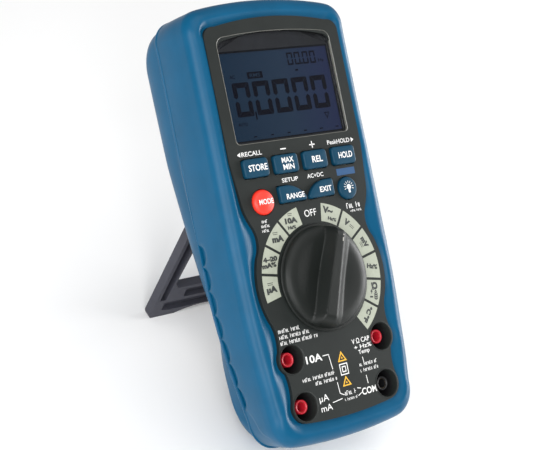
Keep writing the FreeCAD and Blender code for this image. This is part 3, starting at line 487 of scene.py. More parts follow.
def front_side(outside, parting, z):
    """The ring of the front's side at a depth: drawn in, slightly bulging, with the scallops."""
    share = (z + DRAFT) / (PARTING + DRAFT)
    bulge = 0.35 * math.sin((z - PARTING) / 16.0 * math.pi)
    ring = []
    for upper, lower in zip(outside, parting):
        point = upper.lerp(lower, share)
        inward = 0.0
        if abs(point.x) > 30:
            inward = grip_dent(point.y, z)
        if abs(point.x) > 36:
            inward -= bulge
        ring.append((point.x - inward * math.copysign(1.0, point.x), point.y, z))
    return ring


def front_roll(outside, inside, step):
    """One ring of the front's rolled edge, which falls away a little towards the panel."""
    turn = step / ROLL_STEPS
    ring = []
    for outer, inner in zip(outside, inside):
        wide = (inner - outer).length
        along = (1 - math.cos(turn * math.pi / 2)) * wide
        short = max(FRONT_ROLL - along, 0.0)
        z = math.sqrt(FRONT_ROLL ** 2 - short ** 2) - FRONT_ROLL
        if wide > FRONT_ROLL:
            z -= 1.2 * ease((along - 5.5) / (wide - 5.5)) * ease((wide - FRONT_ROLL) / 3.0)
        z -= 0.12 + 0.25 * ease(turn * 3 - 2)
        place = outer.lerp(inner, along / wide)
        ring.append((place.x, place.y, z))
    return ring


def front_rubber():
    """The blue rubber of the front half, from the parting line to the edge of the panel."""
    outside = front_outline()
    parting = parting_outline()
    inside = panel_outline(0.12)
    rings = [[(point.x * 0.93, point.y * 0.95, PARTING) for point in parting]]
    rings += [front_side(outside, parting, PARTING + step * 0.9) for step in range(SIDE_RINGS)]
    rings += [front_roll(outside, inside, step) for step in range(1, ROLL_STEPS + 1)]
    rings.append(level_ring(inside, -2.4))
    made = piece("front_rubber", shell("front_rubber", rings), "rubber", smooth=50.0)
    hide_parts("front_overmould")


def cut_by(item, cutters):
    """Cut an object by other meshes and leave plain geometry."""
    for cutter in cutters:
        change = item.modifiers.new("cut", "BOOLEAN")
        change.operation = "DIFFERENCE"
        change.solver = "EXACT"
        change.object = cutter
    graph = bpy.context.evaluated_depsgraph_get()
    mesh = bpy.data.meshes.new_from_object(item.evaluated_get(graph))
    item.modifiers.clear()
    item.data = mesh
    for cutter in cutters:
        bpy.data.objects.remove(cutter)


def block(name, low, high):
    """A box in the meter's axes, used only to cut others."""
    points = [(x, y, z) for x in (low[0], high[0]) for y in (low[1], high[1])
              for z in (low[2], high[2])]
    faces = [(0, 1, 3, 2), (4, 6, 7, 5), (0, 4, 5, 1), (2, 3, 7, 6), (0, 2, 6, 4), (1, 5, 7, 3)]
    return placed(name, mesh_of(name, points, faces))


def circle(centre, radius, count):
    x, y = centre[0], centre[1]
    return [Vector((x + radius * math.cos(turn), y + radius * math.sin(turn)))
            for turn in (math.tau * step / count for step in range(count))]


def lathe(name, centre, profile):
    """A turned form about the meter's z through a centre; profile lists (radius, z)."""
    return shell(name, [level_ring(circle(centre, radius, 72), z) for radius, z in profile])


def closed_rod(centre, radius, low, high):
    rings = [level_ring(circle(centre, radius, 48), z) for z in (low, high)]
    return shell("rod", rings, cap_first=True, cap_last=True)


CASE_SCREWS = [(-32.0, 88.0), (32.0, 88.0), (-8.0, -73.0), (8.0, -73.0)]
BACK = meter_box("rear_overmould")[0].z
REAR_TOP = BACK + 12.0
LIP = [(0.9, 0.35), (0.1, 0.45), (-0.45, 0.9), (-0.6, 1.5), (-0.35, 2.1), (0.1, 2.7), (0.35, 3.3)]
SIDE_STEPS = 12
BACK_STEPS = 14
FLAT_STEPS = 4
TABLE_NORMAL = TO_METER.to_3x3() @ Vector((0.0, 0.0, 1.0))
TABLE_POINT = TO_METER @ Vector((0.0, 0.0, 0.0)) / MM


def above_table(point):
    """Lift a point that would be under the table onto it."""
    point = Vector(point)
    depth = (point - TABLE_POINT).dot(TABLE_NORMAL)
    if depth < 0.0:
        point -= TABLE_NORMAL * depth
    return tuple(point)


def roll_width(along):
    """How far the back's roll reaches in: wide at the sides, tighter at the two ends."""
    out = Vector((along.y, -along.x)).normalized()
    return 12.0 - 7.0 * max(0.0, -out.y) ** 2 - 4.0 * max(0.0, out.y) ** 2


def back_rings(rear, bay):
    """The back's rounded edge, its flat and the rim of the bay, from the outside in."""
    count = len(rear)
    columns = []
    for index, (outer, inner) in enumerate(zip(rear, bay)):
        room = (inner - outer).length - 0.3
        wide = min(roll_width(rear[(index + 1) % count] - rear[index - 1]), room * 2.4)
        way = (inner - outer).normalized()
        last = math.acos(1 - min(1.0, room / wide))
        column = []
        for step in range(1, BACK_STEPS + 1):
            turn = last * step / BACK_STEPS
            edge = outer + way * wide * (1 - math.cos(turn))
            z = REAR_TOP + (BACK - REAR_TOP) * math.sin(turn)
            column.append((edge, z))
        for step in range(1, FLAT_STEPS + 1):
            column.append((edge.lerp(inner, 0.985 * step / FLAT_STEPS), z))
        column.append((inner, z + 0.5))
        column.append((inner, z + 2.0))
        column.append((outer + way * min(8.0, room * 0.8), z + 2.0))
        columns.append(column)
    return [[above_table((place.x, place.y, z)) for place, z in level]
            for level in zip(*columns)]


def lip_inset(inset):
    """The lip under the parting line stands out further along the grip."""
    def at_height(y):
        return inset * (1.0 + 1.4 * ease(-y / 14.0)) if inset < 0.0 else inset
    return at_height


def rear_rubber():
    """The blue rubber of the rear half, with the bay for the stand and the screw holes."""
    front = parting_outline()
    rear = rear_outline()
    fall = PARTING - REAR_TOP
    lip_foot = LIP[-1][1]

    def side_ring(drop, inset):
        loop = [outer.lerp(inner, drop / fall) for outer, inner in zip(front, rear)]
        return level_ring(drawn_in(loop, inset), PARTING - drop)

    rings = [level_ring(drawn_in(front, 2.6), PARTING - LIP[0][1])]
    rings += [side_ring(drop, lip_inset(inset)) for inset, drop in LIP]
    for step in range(1, SIDE_STEPS + 1):
        share = step / SIDE_STEPS
        rings.append(side_ring(lip_foot + (fall - lip_foot) * share, 0.35 * (1 - share)))
    rings += back_rings(rear, bay_outline())
    rings.append(level_ring(drawn_in(rear, 2.6), REAR_TOP))
    item = placed("rear_rubber_raw", shell("rear_rubber", rings, joined=True))
    cutters = []
    for index, place in enumerate(CASE_SCREWS):
        cutters.append(placed(f"hole_cut{index}", closed_rod(place, 3.1, BACK - 5, BACK + 9)))
    for side in (-1, 1):
        left, right = sorted((side * 26.0, side * 32.6))
        cutters.append(block(f"hinge_cut{side}", (left, 18.8, BACK - 5), (right, 29.2, -30.0)))
    cut_by(item, cutters)
    mesh = item.data
    bpy.data.objects.remove(item)
    made = piece("rear_rubber", mesh, "rubber", smooth=40.0)
    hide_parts("rear_overmould")


# Print ---------------------------------------------------------------------------------------


INK = 0.03


class Print:
    """Ink: flat shapes gathered into one piece for each body and colour."""

    def __init__(self):
        self.sets = {}

    def shape(self, points, faces, ink_name, body="meter"):
        known = self.sets.setdefault((body, ink_name), ([], []))
        base = len(known[0])
        known[0].extend(points)
        known[1].extend(tuple(base + index for index in face) for face in faces)

    def polygon(self, loop, z=INK, ink_name="white", body="meter"):
        self.shape(level_ring(loop, z), [tuple(range(len(loop)))], ink_name, body)

    def ring(self, outer, inner, z=INK, ink_name="white"):
        self.shape(level_ring(outer + inner, z), bridge([outer, inner]), ink_name)

    def stroke(self, path, wide, z=INK, ink_name="white", body="meter"):
        """A line of even width through points, with square joints."""
        for start, end in zip(path, path[1:]):
            start, end = Vector(start), Vector(end)
            along = (end - start).normalized() * wide / 2
            across = Vector((-along.y, along.x))
            self.polygon([start - along - across, end + along - across,
                          end + along + across, start - along + across], z, ink_name, body)

    def words(self, text, low, high, z=INK, ink_name="white", body="meter", turn=0.0,
              weight=0.012):
        """Lettering fitted into a box, then turned clockwise about the box's middle."""
        curve = bpy.data.curves.new("words", "FONT")
        curve.body = text
        curve.resolution_u = 3
        curve.offset = weight
        item = bpy.data.objects.new("words", curve)
        mesh = bpy.data.meshes.new_from_object(item)
        xs = [vertex.co.x for vertex in mesh.vertices]
        ys = [vertex.co.y for vertex in mesh.vertices]
        middle = (Vector(low) + Vector(high)) / 2
        wide, tall = high[0] - low[0], high[1] - low[1]
        spin = Matrix.Rotation(math.radians(-turn), 2)
        points = []
        for x, y in zip(xs, ys, strict=True):
            across = (x - min(xs)) / (max(xs) - min(xs)) - 0.5
            upward = (y - min(ys)) / (max(ys) - min(ys)) - 0.5
            place = middle + spin @ Vector((across * wide, upward * tall))
            points.append((place.x, place.y, z))
        self.shape(points, [tuple(face.vertices) for face in mesh.polygons], ink_name, body)
        bpy.data.objects.remove(item)
        bpy.data.curves.remove(curve)
        bpy.data.meshes.remove(mesh)

    def small_print(self, low, high, seed):
        """A line too small to read: stems with a bar each, in word-like groups."""
        tall = high[1] - low[1]
        line_wide = 0.17 * tall
        x = low[0]
        step = seed
        while x < high[0] - 0.4 * tall:
            wide = tall * (0.42, 0.55, 0.48)[step * 7 % 3]
            if step * 5 % 7 != 0:
                top = low[1] + tall * (1.0, 0.74)[step * 3 % 4 > 0]
                end = x + wide - line_wide
                y = (low[1], top, (low[1] + top) / 2)[step % 3]
                self.stroke([(x, low[1]), (x, top)], line_wide)
                self.stroke([(x, y), (end, y)], line_wide)
                if step % 2:
                    self.stroke([(end, low[1]), (end, top)], line_wide)
            x += wide + 0.16 * tall
            step += 1

    def finish(self):
        for (body, ink_name), (points, faces) in self.sets.items():
            mesh = mesh_of(f"print_{body}_{ink_name}", points, faces)
            piece(f"print_{body}_{ink_name}", mesh, ink_name, body)


prints = Print()


def triangle_sign(apex, base, wide):
    """A plain outlined triangle."""
    outer = [Vector((apex[0], apex[1])), Vector((apex[0] - wide / 2, base)),
             Vector((apex[0] + wide / 2, base))]
    centre = sum(outer, Vector((0.0, 0.0))) / 3
    inner = [centre.lerp(point, 0.62) for point in outer]
    prints.ring(outer, inner, ink_name="amber")
    core = [centre.lerp(point, 0.22) for point in outer]
    prints.polygon(core, ink_name="amber")


def box_loop(low, high, inset=0.0):
    """A rectangle drawn in by an inset, anticlockwise from the bottom left."""
    left, foot = low[0] + inset, low[1] + inset
    right, top = high[0] - inset, high[1] - inset
    return [Vector(corner) for corner in ((left, foot), (right, foot), (right, top), (left, top))]


def square_sign(low, high):
    """A square inside a square."""
    middle = (Vector(low) + Vector(high)) / 2
    for inset, thick in ((0.0, 0.42), (1.15, 0.4)):
        outer = box_loop(low, high, inset)
        inner = [point + (middle - point).normalized() * thick * math.sqrt(2) for point in outer]
        prints.ring(outer, inner)


def arrow(tip, back_x, y):
    half = 0.95
    prints.polygon([(tip, y), (back_x, y + half), (back_x, y - half)])


# Words on the panel: text, lower left, upper right, weight.
PANEL_WORDS = [
    ("RECALL", (-28.7, 36.1), (-18.3, 38.0), 0.012),
    ("PeakHOLD", (16.9, 36.2), (29.4, 38.1), 0.012),
    ("SETUP", (-11.0, 23.3), (-2.5, 25.1), 0.012),
    ("AC+DC", (2.5, 23.4), (11.3, 25.2), 0.012),
    ("OFF", (-3.0, 7.7), (3.4, 10.6), 0.0),
    ("10A", (-17.6, -51.5), (-9.1, -48.3), 0.02),
    ("V \u03a9 CAP", (7.9, -48.4), (17.8, -46.2), 0.012),
    ("+ Hz%", (8.6, -50.9), (18.2, -49.1), 0.012),
    ("Temp", (10.4, -53.6), (16.6, -51.3), 0.012),
    ("COM", (8.0, -70.0), (16.2, -67.1), 0.02),
    ("\u00b5A", (-14.9, -68.6), (-9.9, -65.2), 0.0),
    ("mA", (-14.9, -72.0), (-8.9, -69.4), 0.0),
]
# Small print: foot of the first line, pitch, height, first pattern, both ends of each line.
SMALL_PRINT = [
    (8.4, 1.9, 1.15, 0, [(-26.0, -21.9), (-26.0, -21.6), (-26.0, -21.9)]),
    (8.2, 0.0, 2.0, 4, [(20.4, 28.0)]),
    (6.4, 0.0, 0.9, 2, [(22.0, 28.2)]),
    (-36.6, 2.45, 1.45, 1, [(-28.4, -16.8), (-28.4, -12.6), (-28.4, -8.6)]),
    (-58.2, 2.5, 1.4, 2, [(-21.2, -3.1), (-15.0, -3.1)]),
    (-58.0, 2.5, 1.3, 5, [(9.6, 19.6), (9.6, 19.6)]),
    (-68.0, 0.0, 1.6, 3, [(-1.0, 5.6)]),
    (-70.2, 0.0, 1.0, 6, [(-1.6, 5.4)]),
]
# Lines on the panel: a minus and a plus, then the leaders between the sockets.
SIGN_WIDE = 0.5
SIGNS = [
    [(-8.3, 37.2), (-5.9, 37.2)], [(7.3, 37.3), (9.7, 37.3)], [(8.5, 36.1), (8.5, 38.5)],
]
LEADER_WIDE = 0.34
LEADERS = [
    [(-8.6, -49.8), (-5.6, -49.8), (-4.9, -56.0)],
    [(-3.9, -62.0), (-3.6, -66.6), (-1.6, -67.6)],
    [(-8.2, -69.4), (-3.2, -68.9)], [(6.0, -66.4), (7.6, -66.8)],
    [(5.8, -69.6), (7.6, -68.8)], [(12.0, -54.6), (12.2, -57.0)],
    [(12.0, -62.4), (12.2, -65.6)],
]


def panel_print():
    """The print on the black panel: white but for the warning signs and one blue tile."""
    arrow(-30.9, -29.3, 37.0)
    arrow(31.7, 30.2, 37.1)
    for text, low, high, weight in PANEL_WORDS:
        prints.words(text, low, high, weight=weight)
    for foot, pitch, tall, seed, lines in SMALL_PRINT:
        for row, (start, end) in enumerate(lines):
            y = foot - row * pitch
            prints.small_print((start, y), (end, y + tall), seed + row)
    for path in SIGNS:
        prints.stroke(path, SIGN_WIDE)
    for path in LEADERS:
        prints.stroke(path, LEADER_WIDE)
    triangle_sign((1.0, -49.7), -54.0, 4.9)
    triangle_sign((1.0, -60.1), -64.3, 4.9)
    square_sign((-1.2, -59.7), (3.2, -54.9))
    prints.polygon(box_loop((18.7, 22.5), (28.8, 25.4)), ink_name="tile")


RING_OUT = 31.25
RING_IN = 23.6
SECTOR = 22.5
# Words and direct-current signs on the dial: how far out from the middle of the ring, angle,
# size, turn.
DIAL_WORDS = [
    ("10A", 0.2, -22.5, 5.2, 2.0, 0), ("Hz%", -2.3, -25.5, 3.4, 1.2, 0),
    ("mA", -0.4, -45.0, 4.8, 2.2, 0), ("4\u201320", 0.2, -65.2, 5.8, 1.7, 0),
    ("mA%", 0.3, -70.6, 5.8, 1.7, 0), ("\u00b5A", -0.2, -91.6, 4.3, 2.6, 0),
    ("V~", 1.3, 19.5, 4.4, 2.3, 20), ("Hz%", -1.9, 25.5, 3.6, 1.2, 22),
    ("V", 0.2, 42.0, 2.2, 2.3, 45), ("mV", 0.8, 67.5, 4.0, 2.0, 67.5),
    ("Hz%", 0.0, 90.0, 4.6, 1.7, 15), ("\u03a9", 0.4, 107.5, 2.6, 2.6, 90),
    ("o)))", 1.6, 115.0, 3.4, 1.6, 100), ("+ |", -1.0, 115.0, 3.0, 1.3, 100),
    ("\u00b0C", 0.2, 131.0, 3.0, 2.1, 125), ("\u00b0F", 0.6, 139.0, 2.8, 2.0, 130),
]
DIAL_SIGNS = [
    (2.6, -21.0, 2.2, 0), (1.9, -43.0, 2.4, 0), (0.2, -86.4, 2.6, 0), (0.2, 48.5, 2.4, 45),
    (-1.4, 67.5, 2.4, 67.5),
]


def dial_point(radius, angle):
    """A place on the dial at a clockwise angle from straight up, in degrees."""
    turn = math.radians(angle)
    return Vector((DIAL.x + radius * math.sin(turn), DIAL.y + radius * math.cos(turn)))


def dial_sector(start):
    """One printed field of the dial, with an even gap at each border."""
    gap = 0.55
    outer, inner = [], []
    for step in range(13):
        share = step / 12
        for radius, points in ((RING_OUT, outer), (RING_IN, inner)):
            trim = math.degrees(gap / radius)
            points.append(dial_point(radius, start + trim + (SECTOR - 2 * trim) * share))
    loop = outer + inner[::-1]
    faces = [(step, step + 1, 24 - step, 25 - step) for step in range(12)]
    prints.shape(level_ring(loop, INK), faces, "sector")


def dial_words(text, radius, angle, wide, tall, turn):
    middle = dial_point(radius, angle)
    reach = Vector((wide, tall)) * 0.63
    prints.words(text, middle - reach, middle + reach, INK * 2, "dark", turn=turn, weight=0.07)


def dial_sign(radius, angle, wide, turn):
    """The direct-current sign: a bar over three dashes."""
    middle = dial_point(radius, angle)
    spin = Matrix.Rotation(math.radians(-turn), 2)
    def mark(x0, x1, y):
        ends = [middle + spin @ Vector((x, y)) for x in (x0, x1)]
        prints.stroke(ends, 0.26, INK * 2, "dark")
    mark(-wide / 2, wide / 2, 0.4)
    for index in range(3):
        x = -wide / 2 + wide * (index + 0.12) / 3
        mark(x, x + wide * 0.2, -0.35)


def dial_print():
    for first, count in ((-101.25, 4), (11.25, 6)):
        for index in range(count):
            dial_sector(first + index * SECTOR)
    mid = (RING_OUT + RING_IN) / 2
    for text, out, angle, wide, tall, turn in DIAL_WORDS:
        dial_words(text, mid + out, angle, wide, tall, turn)
    for out, angle, wide, turn in DIAL_SIGNS:
        dial_sign(mid + out, angle, wide, turn)


# Display -------------------------------------------------------------------------------------

GLASS_TOP = meter_box("lcd_glass")[1].z
SEGMENT_Z = GLASS_TOP + 0.03
SEGMENT = (SEGMENT_Z, "segment")


def zero_digit(left, foot, wide, tall, thick):
    """A seven-segment zero: six bars with cut corners."""
    gap = thick * 0.05
    right, top = left + wide, foot + tall
    middle = foot + tall / 2
    cut = thick * 0.2

    def upright(x, sign, end, half_way):
        way = math.copysign(1.0, half_way - end)
        point = half_way - way * thick * 0.4
        return [(x, end + way * cut), (x + sign * cut, end), (x + sign * thick, end + way * thick),
                (x + sign * thick, point), (x + sign * thick / 2, half_way), (x, point)]

    def level(y, sign):
        return [(left + cut + gap, y), (right - cut - gap, y),
                (right - thick - gap, y + sign * thick), (left + thick + gap, y + sign * thick)]

    spacing = thick * 0.2
    bars = [upright(left, 1, foot, middle - spacing), upright(left, 1, top, middle + spacing),
            upright(right, -1, foot, middle - spacing), upright(right, -1, top, middle + spacing),
            level(foot, 1), level(top, -1)]
    for bar in bars:
        prints.polygon(bar, *SEGMENT)


def display_print():
    pitch, wide, tall, thick = 10.3, 8.6, 14.3, 2.2
    for index in range(5):
        zero_digit(-24.7 + index * pitch, 52.5, wide, tall, thick)
    comma = [(-15.7, 54.2), (-14.9, 54.2), (-14.9, 51.2), (-15.7, 50.6)]
    prints.polygon(comma, *SEGMENT)
    for index in range(4):
        zero_digit(6.6 + index * 3.95 + 0.5 * (index > 1), 72.2, 3.1, 5.4, 0.72)
    prints.stroke([(14.1, 72.6), (14.4, 72.6)], 0.7, *SEGMENT)
    prints.words("AC", (-25.0, 68.6), (-22.2, 70.1), *SEGMENT)
    prints.polygon(box_loop((-15.9, 68.0), (-7.9, 70.8)), *SEGMENT)
    prints.words("RMS", (-14.6, 68.6), (-9.2, 70.2), SEGMENT_Z + 0.03, "display")
    prints.words("AUTO", (-25.3, 48.8), (-20.5, 50.2), *SEGMENT)
    for index in range(7):
        x = -27.4 + index * 8.85
        prints.stroke([(x, 43.9), (x + 1.2 * (index > 0), 43.9)], 0.5 + (index == 0) * 0.4,
                      *SEGMENT)
    prints.ring([Vector((20.6, 50.6)), Vector((22.0, 47.6)), Vector((23.4, 50.6))],
                [Vector((21.2, 50.25)), Vector((22.0, 48.5)), Vector((22.8, 50.25))],
                *SEGMENT)
    prints.stroke([(10.2, 69.9), (11.0, 69.9)], 0.8, *SEGMENT)
    prints.words("Hz", (23.4, 72.6), (26.4, 74.0), *SEGMENT)


def window_loop(inset):
    """The display window's edge: square below with small corners, arched above."""
    low, half, top, corner = 41.1 + inset, 29.8 - inset, 87.1 - inset, 2.0
    return both_sides(path(
        ((0.0, low), None, 16), ((half - corner, low), corner, 8),
        ((half, low + corner), None, 24), ((half, 82.4), 4.0, 8),
        ((26.4, 85.6 - inset), 234.0, 20), ((0.0, top), None, 0)))


def display_frame():
    """The window's edge bead, its light grey a painted highlight, and the dark mask printed behind
    the glass.
    """
    rail = [(0.08, 0.0), (0.12, 0.08), (0.22, 0.11), (0.32, 0.04), (0.36, -0.5), (0.36, -1.0)]
    rings = [level_ring(window_loop(-0.28 + inset), z) for inset, z in rail]
    # The rim bead's light grey material is a painted highlight along the window's edge.
    piece("window_rim", shell("window_rim", rings), "rim")
    mask_z = meter_box("lcd_window")[0].z - 0.05
    outer = window_loop(0.2)
    low, high = (-28.5, 42.5), (28.5, 79.2)
    inner = []
    for point in outer:
        inner.append(Vector((min(max(point.x, low[0]), high[0]),
                             min(max(point.y, low[1]), high[1]))))
    prints.ring(outer, inner, mask_z, "mask")


# Keys ----------------------------------------------------------------------------------------


def key_cap(name, loop, top, edge, crown, material, smooth=40.0):
    """A moulded key: a straight wall, a rounded edge and a slightly crowned top."""
    middle = sum(loop, Vector((0.0, 0.0))) / len(loop)
    rings = [level_ring(loop, -1.4)]
    for step in range(7):
        turn = math.pi / 2 * step / 6
        inset = edge * (1 - math.cos(turn))
        z = top - edge + edge * math.sin(turn)
        rings.append(level_ring(drawn_in(loop, inset), z))
    face = drawn_in(loop, edge)
    for step in range(1, 7):
        share = step / 7
        rings.append(level_ring([point.lerp(middle, share) for point in face],
                                top + crown * (1 - (1 - share) ** 2)))
    made = piece(name + "_cap", shell(name, rings, cap_last=True), material, name, smooth)
    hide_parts(name)
    return made


def rounded_box(low, high, radius, count=7):
    """A rectangle with round corners, anticlockwise from the bottom left."""
    x0, y0 = low
    x1, y1 = high
    corners = [((x1 - radius, y0), (x1, y0 + radius)), ((x1, y1 - radius), (x1 - radius, y1)),
               ((x0 + radius, y1), (x0, y1 - radius)), ((x0, y0 + radius), (x0 + radius, y0))]
    points = []
    for index, (start, end) in enumerate(corners):
        points += arc(start, end, radius, count)
        points.append(Vector(end))
        following = corners[(index + 1) % 4][0]
        points += line(end, following, 8)[1:]
    return points


def wing_loop(side):
    """The keys under the row: the inner top corner is swept away by a large arc."""
    inner, outer, bottom, top = 1.0, 14.5, 14.8, 22.0
    corner = 1.0
    foot = (inner + 0.6, bottom)
    points = path(
        (foot, None, 14), ((outer - corner, bottom), corner, 6),
        ((outer, bottom + corner), None, 8), ((outer, top - corner), corner, 6),
        ((outer - corner, top), None, 6), ((inner + 8.8, top), 12.0, 20),
        ((inner, bottom + 1.9), 1.1, 5), (foot, None, 0))[:-1]
    if side < 0:
        points = [Vector((-point.x, point.y)) for point in reversed(points)]
    return points


KEY_TOP = meter_box("key_store")[1].z


def bulb_icon(centre, z, body):
    """A lamp bulb with rays."""
    x, y = centre
    prints.polygon(circle((x, y + 0.35), 1.15, 20), z, "white", body)
    prints.polygon([(x - 0.55, y - 0.6), (x - 0.5, y - 2.1), (x + 0.5, y - 2.1),
                    (x + 0.55, y - 0.6)], z, "white", body)
    for step in range(9):
        angle = math.radians(-20 + step * 27.5)
        way = Vector((math.cos(angle), math.sin(angle)))
        start = Vector((x, y + 0.35)) + way * 1.75
        prints.stroke([start, start + way * 0.8], 0.24, z, "white", body)


KEY_EDGE = 0.8
KEY_CROWN = 0.12
ROW_Y = 30.9
# The row of keys: the word or the two words on each, with their widths.
KEY_ROW = {
    "key_store": [("STORE", 9.6)], "key_max_min": [("MAX", 6.2), ("MIN", 5.8)],
    "key_relative": [("REL", 5.6)], "key_hold": [("HOLD", 7.6)],
}


def key_word(name, text, place, wide, tall):
    """A word about its middle on one of the blue keys."""
    reach = Vector((wide, tall)) / 2
    place = Vector(place)
    prints.words(text, place - reach, place + reach, KEY_TOP + KEY_CROWN + 0.03, "white", name,
                 weight=0.02)


def make_keys():
    for name, lines in KEY_ROW.items():
        x = middle_of(name).x
        loop = rounded_box((x - 6.3, ROW_Y - 3.9), (x + 6.3, ROW_Y + 3.9), 1.6)
        made = key_cap(name, loop, KEY_TOP, KEY_EDGE, KEY_CROWN, "key")
        for index, (text, wide) in enumerate(lines):
            if len(lines) == 1:
                key_word(name, text, (x + 0.5, ROW_Y), wide, 2.7)
            else:
                key_word(name, text, (x + 0.5, 32.35 - index * 2.9), wide, 2.3)
    for side, name, text, place, wide in ((-1, "key_range", "RANGE", (-6.9, 17.2), 9.4),
                                          (1, "key_exit", "EXIT", (9.6, 17.9), 6.4)):
        made = key_cap(name, wing_loop(side), KEY_TOP, KEY_EDGE, KEY_CROWN, "key")
        key_word(name, text, place, wide, 2.3)
    centre = middle_of("key_mode")
    top = meter_box("key_mode")[1].z
    made = key_cap("key_mode", circle((-22.8, 16.7), 5.25, 64), top - 0.5, 1.9, 0.5, "red_key", 60)
    prints.words("MODE", (centre.x - 3.5, 15.6), (centre.x + 3.7, 17.8), top + 0.04, "white",
                 "key_mode", weight=0.02)
    top = meter_box("key_light")[1].z
    made = key_cap("key_light", circle((22.4, 16.7), 4.8, 64), top, 0.7, 0.15, "key", 50)
    bulb_icon((22.6, 16.7), top + 0.18, "key_light")


# Knob ----------------------------------------------------------------------------------------

BODY_R = 21.5
RIDGE_TOP = 9.5
RIM_Z = 1.5
PLATEAU_Z = 4.4
SHOULDER = 6.0
RIDGE_REACH = 16.5


def knob_height(u, v):
    """The knob's face: a ridge along u on a shallow disc with a rounded shoulder."""
    radius = min(math.hypot(u, v), BODY_R)
    outward = max(0.0, (radius - (BODY_R - SHOULDER)) / SHOULDER)
    disc = RIM_Z + (PLATEAU_Z - RIM_Z) * math.sqrt(max(0.0, 1.0 - outward ** 2.4))
    disc -= 1.0 * ease(1.0 - radius / (BODY_R - SHOULDER + 1.5))
    half = 2.5 - 0.03 * u
    end = min(1.0, max(0.0, (abs(u) - RIDGE_REACH) / (BODY_R - RIDGE_REACH)))
    crest = RIM_Z + (RIDGE_TOP - RIM_Z) * math.sqrt(max(0.0, 1.0 - end ** 2.2))
    if v < 0:
        share = 1.0 - min(1.0, max(0.0, (-v - half) / 2.5))
    else:
        share = ease(1.0 - min(1.0, max(0.0, (v - half * 0.55) / 7.5)))
    return disc + (crest - disc) * share


def make_knob():
    """The selector: rings of a height field, a rolled rim, a wall and a thin flange."""
    turn = math.radians(90.0 - 22.5)
    rays = 288
    rings = []
    steps = 76
    for step in range(steps, 0, -1):
        share = step / steps
        radius = (BODY_R - 0.01) * (1.0 - (1.0 - share) ** 1.25)
        ring = []
        for ray in range(rays):
            angle = math.tau * ray / rays
            x, y = radius * math.cos(angle), radius * math.sin(angle)
            u = x * math.cos(turn) + y * math.sin(turn)
            v = -x * math.sin(turn) + y * math.cos(turn)
            ring.append((DIAL.x + x, DIAL.y + y, knob_height(u, -v)))
        rings.append(ring)
    base = []
    for radius, z in ((22.5, 0.45), (22.6, 0.6), (22.6, 1.15), (22.4, 1.35), (21.8, 1.4),
                      (21.56, 1.45)):
        base.append(level_ring(circle(DIAL, radius, rays), z))
    rings = base + rings
    made = piece("knob", shell("knob", rings, cap_last=True), "knob", "knob", 50.0)
    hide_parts("selector_knob")
    # A small light grey patch on the ridge near its tip, off to one side of the crest: a painted
    # highlight.
    way = Vector((math.cos(turn), math.sin(turn)))
    across = Vector((-way.y, way.x))
    centre = Vector((DIAL.x, DIAL.y))
    points = []
    for along, aside in ((17.6, 0.9), (17.6, 1.45), (14.6, 1.45), (14.6, 0.9)):
        spot = centre + way * along - across * aside
        points.append((spot.x, spot.y, knob_height(along, aside) + 0.08))
    prints.shape(points, [(0, 1, 2, 3)], "mark", "knob")


# Sockets -------------------------------------------------------------------------------------


def make_sockets():
    """Each socket: a rim bead on the panel, a black well and a coloured sleeve."""
    for name in ("10a", "volts", "ma", "com"):
        centre = middle_of("socket_" + name)
        low = meter_box("socket_cup_" + name)[0].z
        wall = low + 1.0
        well = lathe(f"well_{name}", centre, [
            (7.4, -3.25), (6.25, -3.2), (6.05, -3.25), (5.9, -3.5), (5.9, wall), (3.4, wall),
            (3.05, wall + 0.4)])
        made = piece(f"socket_well_{name}", well, "black")
        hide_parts("socket_cup_" + name)
        sleeve = lathe(f"sleeve_{name}", centre, [
            (3.0, wall), (3.0, -3.2), (2.92, -2.92), (2.7, -2.8), (2.4, -2.84), (2.15, -3.05),
            (1.99, -3.5), (1.99, -11.0)])
        made = piece(f"socket_sleeve_{name}", sleeve, "black" if name == "com" else "red")
        bead = lathe(f"bead_{name}", centre, [
            (5.7, -3.3), (5.7, -0.35), (5.78, -0.08), (5.95, 0.1), (6.2, 0.14), (6.4, 0.07),
            (6.45, -0.02)])
        piece(f"socket_rim_{name}", bead, "panel")


# CAD nodes that stay -------------------------------------------------------------------------

NODE_FINISH = {
    "panel": ["front_case"],
    "rear": ["rear_case", "battery_door", "detent_ring", "switch_rotor", "fuse_clips"],
    "stand": ["tilt_stand"],
    "window": ["lcd_window"],
    "display": ["lcd_glass"],
    "inner": ["lcd_frame", "lcd_backlight", "keypad_mat", "capacitors"],
    "board": ["main_board"],
    "part": ["chips", "buzzer", "thermistor", "varistors", "battery"],
    "ceramic": ["fuse_10a", "fuse_ma"],
    "seal": ["case_gasket", "door_gasket", "window_gasket", "knob_oring"],
    "brass": ["socket_10a", "socket_volts", "socket_ma", "socket_com"],
    "copper": ["battery_contact", "contact_strips", "rotor_contacts", "shunt", "socket_links"],
    "steel": ["board_screws", "case_screws", "door_screws", "detent_balls", "detent_springs",
              "rotor_screw"],
}
BEVELS = {"front_case": 0.3, "rear_case": 0.35, "battery_door": 0.35, "tilt_stand": 0.45}


def finish_nodes():
    for material, names in NODE_FINISH.items():
        for name in names:
            item = NODES[name]
            if not item.material_slots:
                item.data.materials.append(MAT[material])
            for holder in item.material_slots:
                holder.material = MAT[material]
    for name, width in BEVELS.items():
        change = NODES[name].modifiers.new("edge", "BEVEL")
        change.width = width * MM
        change.segments = 3
        change.limit_method = "ANGLE"
        change.angle_limit = math.radians(40.0)
        change.harden_normals = True


# Camera, light and floor ---------------------------------------------------------------------


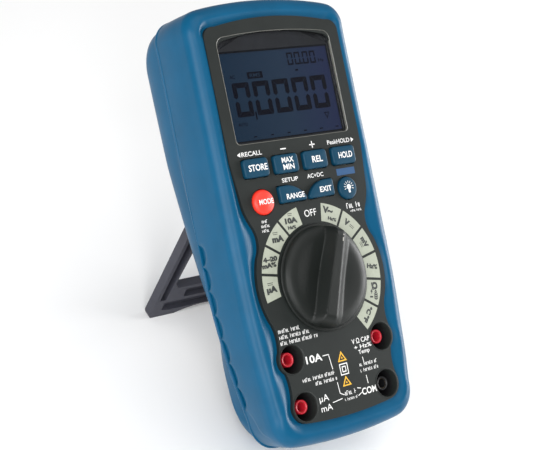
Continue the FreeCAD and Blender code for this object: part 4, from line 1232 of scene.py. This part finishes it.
def make_camera():
    """The view: a little below and well to the left of the face, in the meter's axes."""
    turn = math.radians(-37.1)
    rise = math.radians(-1.54)
    roll = math.radians(-11.63)
    back = Vector((math.sin(turn) * math.cos(rise), math.sin(rise),
                   math.cos(turn) * math.cos(rise)))
    right = (-back).cross(Vector((0.0, 1.0, 0.0))).normalized()
    up = right.cross(-back)
    side = right * math.cos(roll) + up * math.sin(roll)
    top = up * math.cos(roll) - right * math.sin(roll)
    aim = Vector((-19.12, 6.76, 0.0))
    distance = 537.9
    data = bpy.data.cameras.new("camera")
    data.lens = 86.38
    data.sensor_width = 36.0
    data.clip_start = 0.01
    spot = Matrix.Translation((aim + back * distance) * MM)
    local = Matrix((side, top, back)).transposed().to_4x4()
    bpy.context.scene.camera = placed("camera", data, METER @ spot @ local)


def make_floor():
    mesh = bpy.data.meshes.new("floor")
    half = 3.0
    mesh.from_pydata([(-half, -half, 0), (half, -half, 0), (half, half, 0), (-half, half, 0)],
                     [], [(0, 1, 2, 3)])
    nodes = Nodes("pale_floor", (0.9, 0.9, 0.9), 0.7)
    nodes.vary_roughness(nodes.noise(8.0), 0.6, 0.8)
    mesh.materials.append(nodes.material)
    floor = placed("floor", mesh, Matrix())


def area_light(name, place, target, size, power):
    data = bpy.data.lights.new(name, "AREA")
    data.shape = "RECTANGLE"
    data.size, data.size_y = size
    data.energy = power
    turn = (Vector(target) - Vector(place)).to_track_quat("-Z", "Y").to_matrix()
    placed(name, data, Matrix.Translation(place) @ turn.to_4x4())


def make_lights():
    """White surroundings, a soft box at each side, one overhead and a narrow one at the front."""
    world = bpy.data.worlds.new("studio")
    world.use_nodes = True
    background = world.node_tree.nodes["Background"].inputs
    background["Color"].default_value = (1.0, 1.0, 1.0, 1.0)
    background["Strength"].default_value = 0.36
    bpy.context.scene.world = world
    bpy.context.scene.view_settings.view_transform = "Standard"
    middle = (0.0, 0.0, 0.08)
    area_light("left_box", (-0.93, -0.33, 0.47), middle, (0.5, 0.9), 8.0)
    area_light("right_box", (0.95, -0.18, 0.26), middle, (0.8, 0.42), 10.0)
    area_light("top_box", (0.0, -0.1, 1.35), middle, (1.2, 1.2), 6.5)
    area_light("fill_box", (-0.55, -0.84, 0.66), middle, (0.25, 0.8), 6.0)


make_camera()
make_floor()
make_lights()
front_rubber()
rear_rubber()
display_frame()
display_print()
make_keys()
make_knob()
make_sockets()
panel_print()
dial_print()
prints.finish()
finish_nodes()
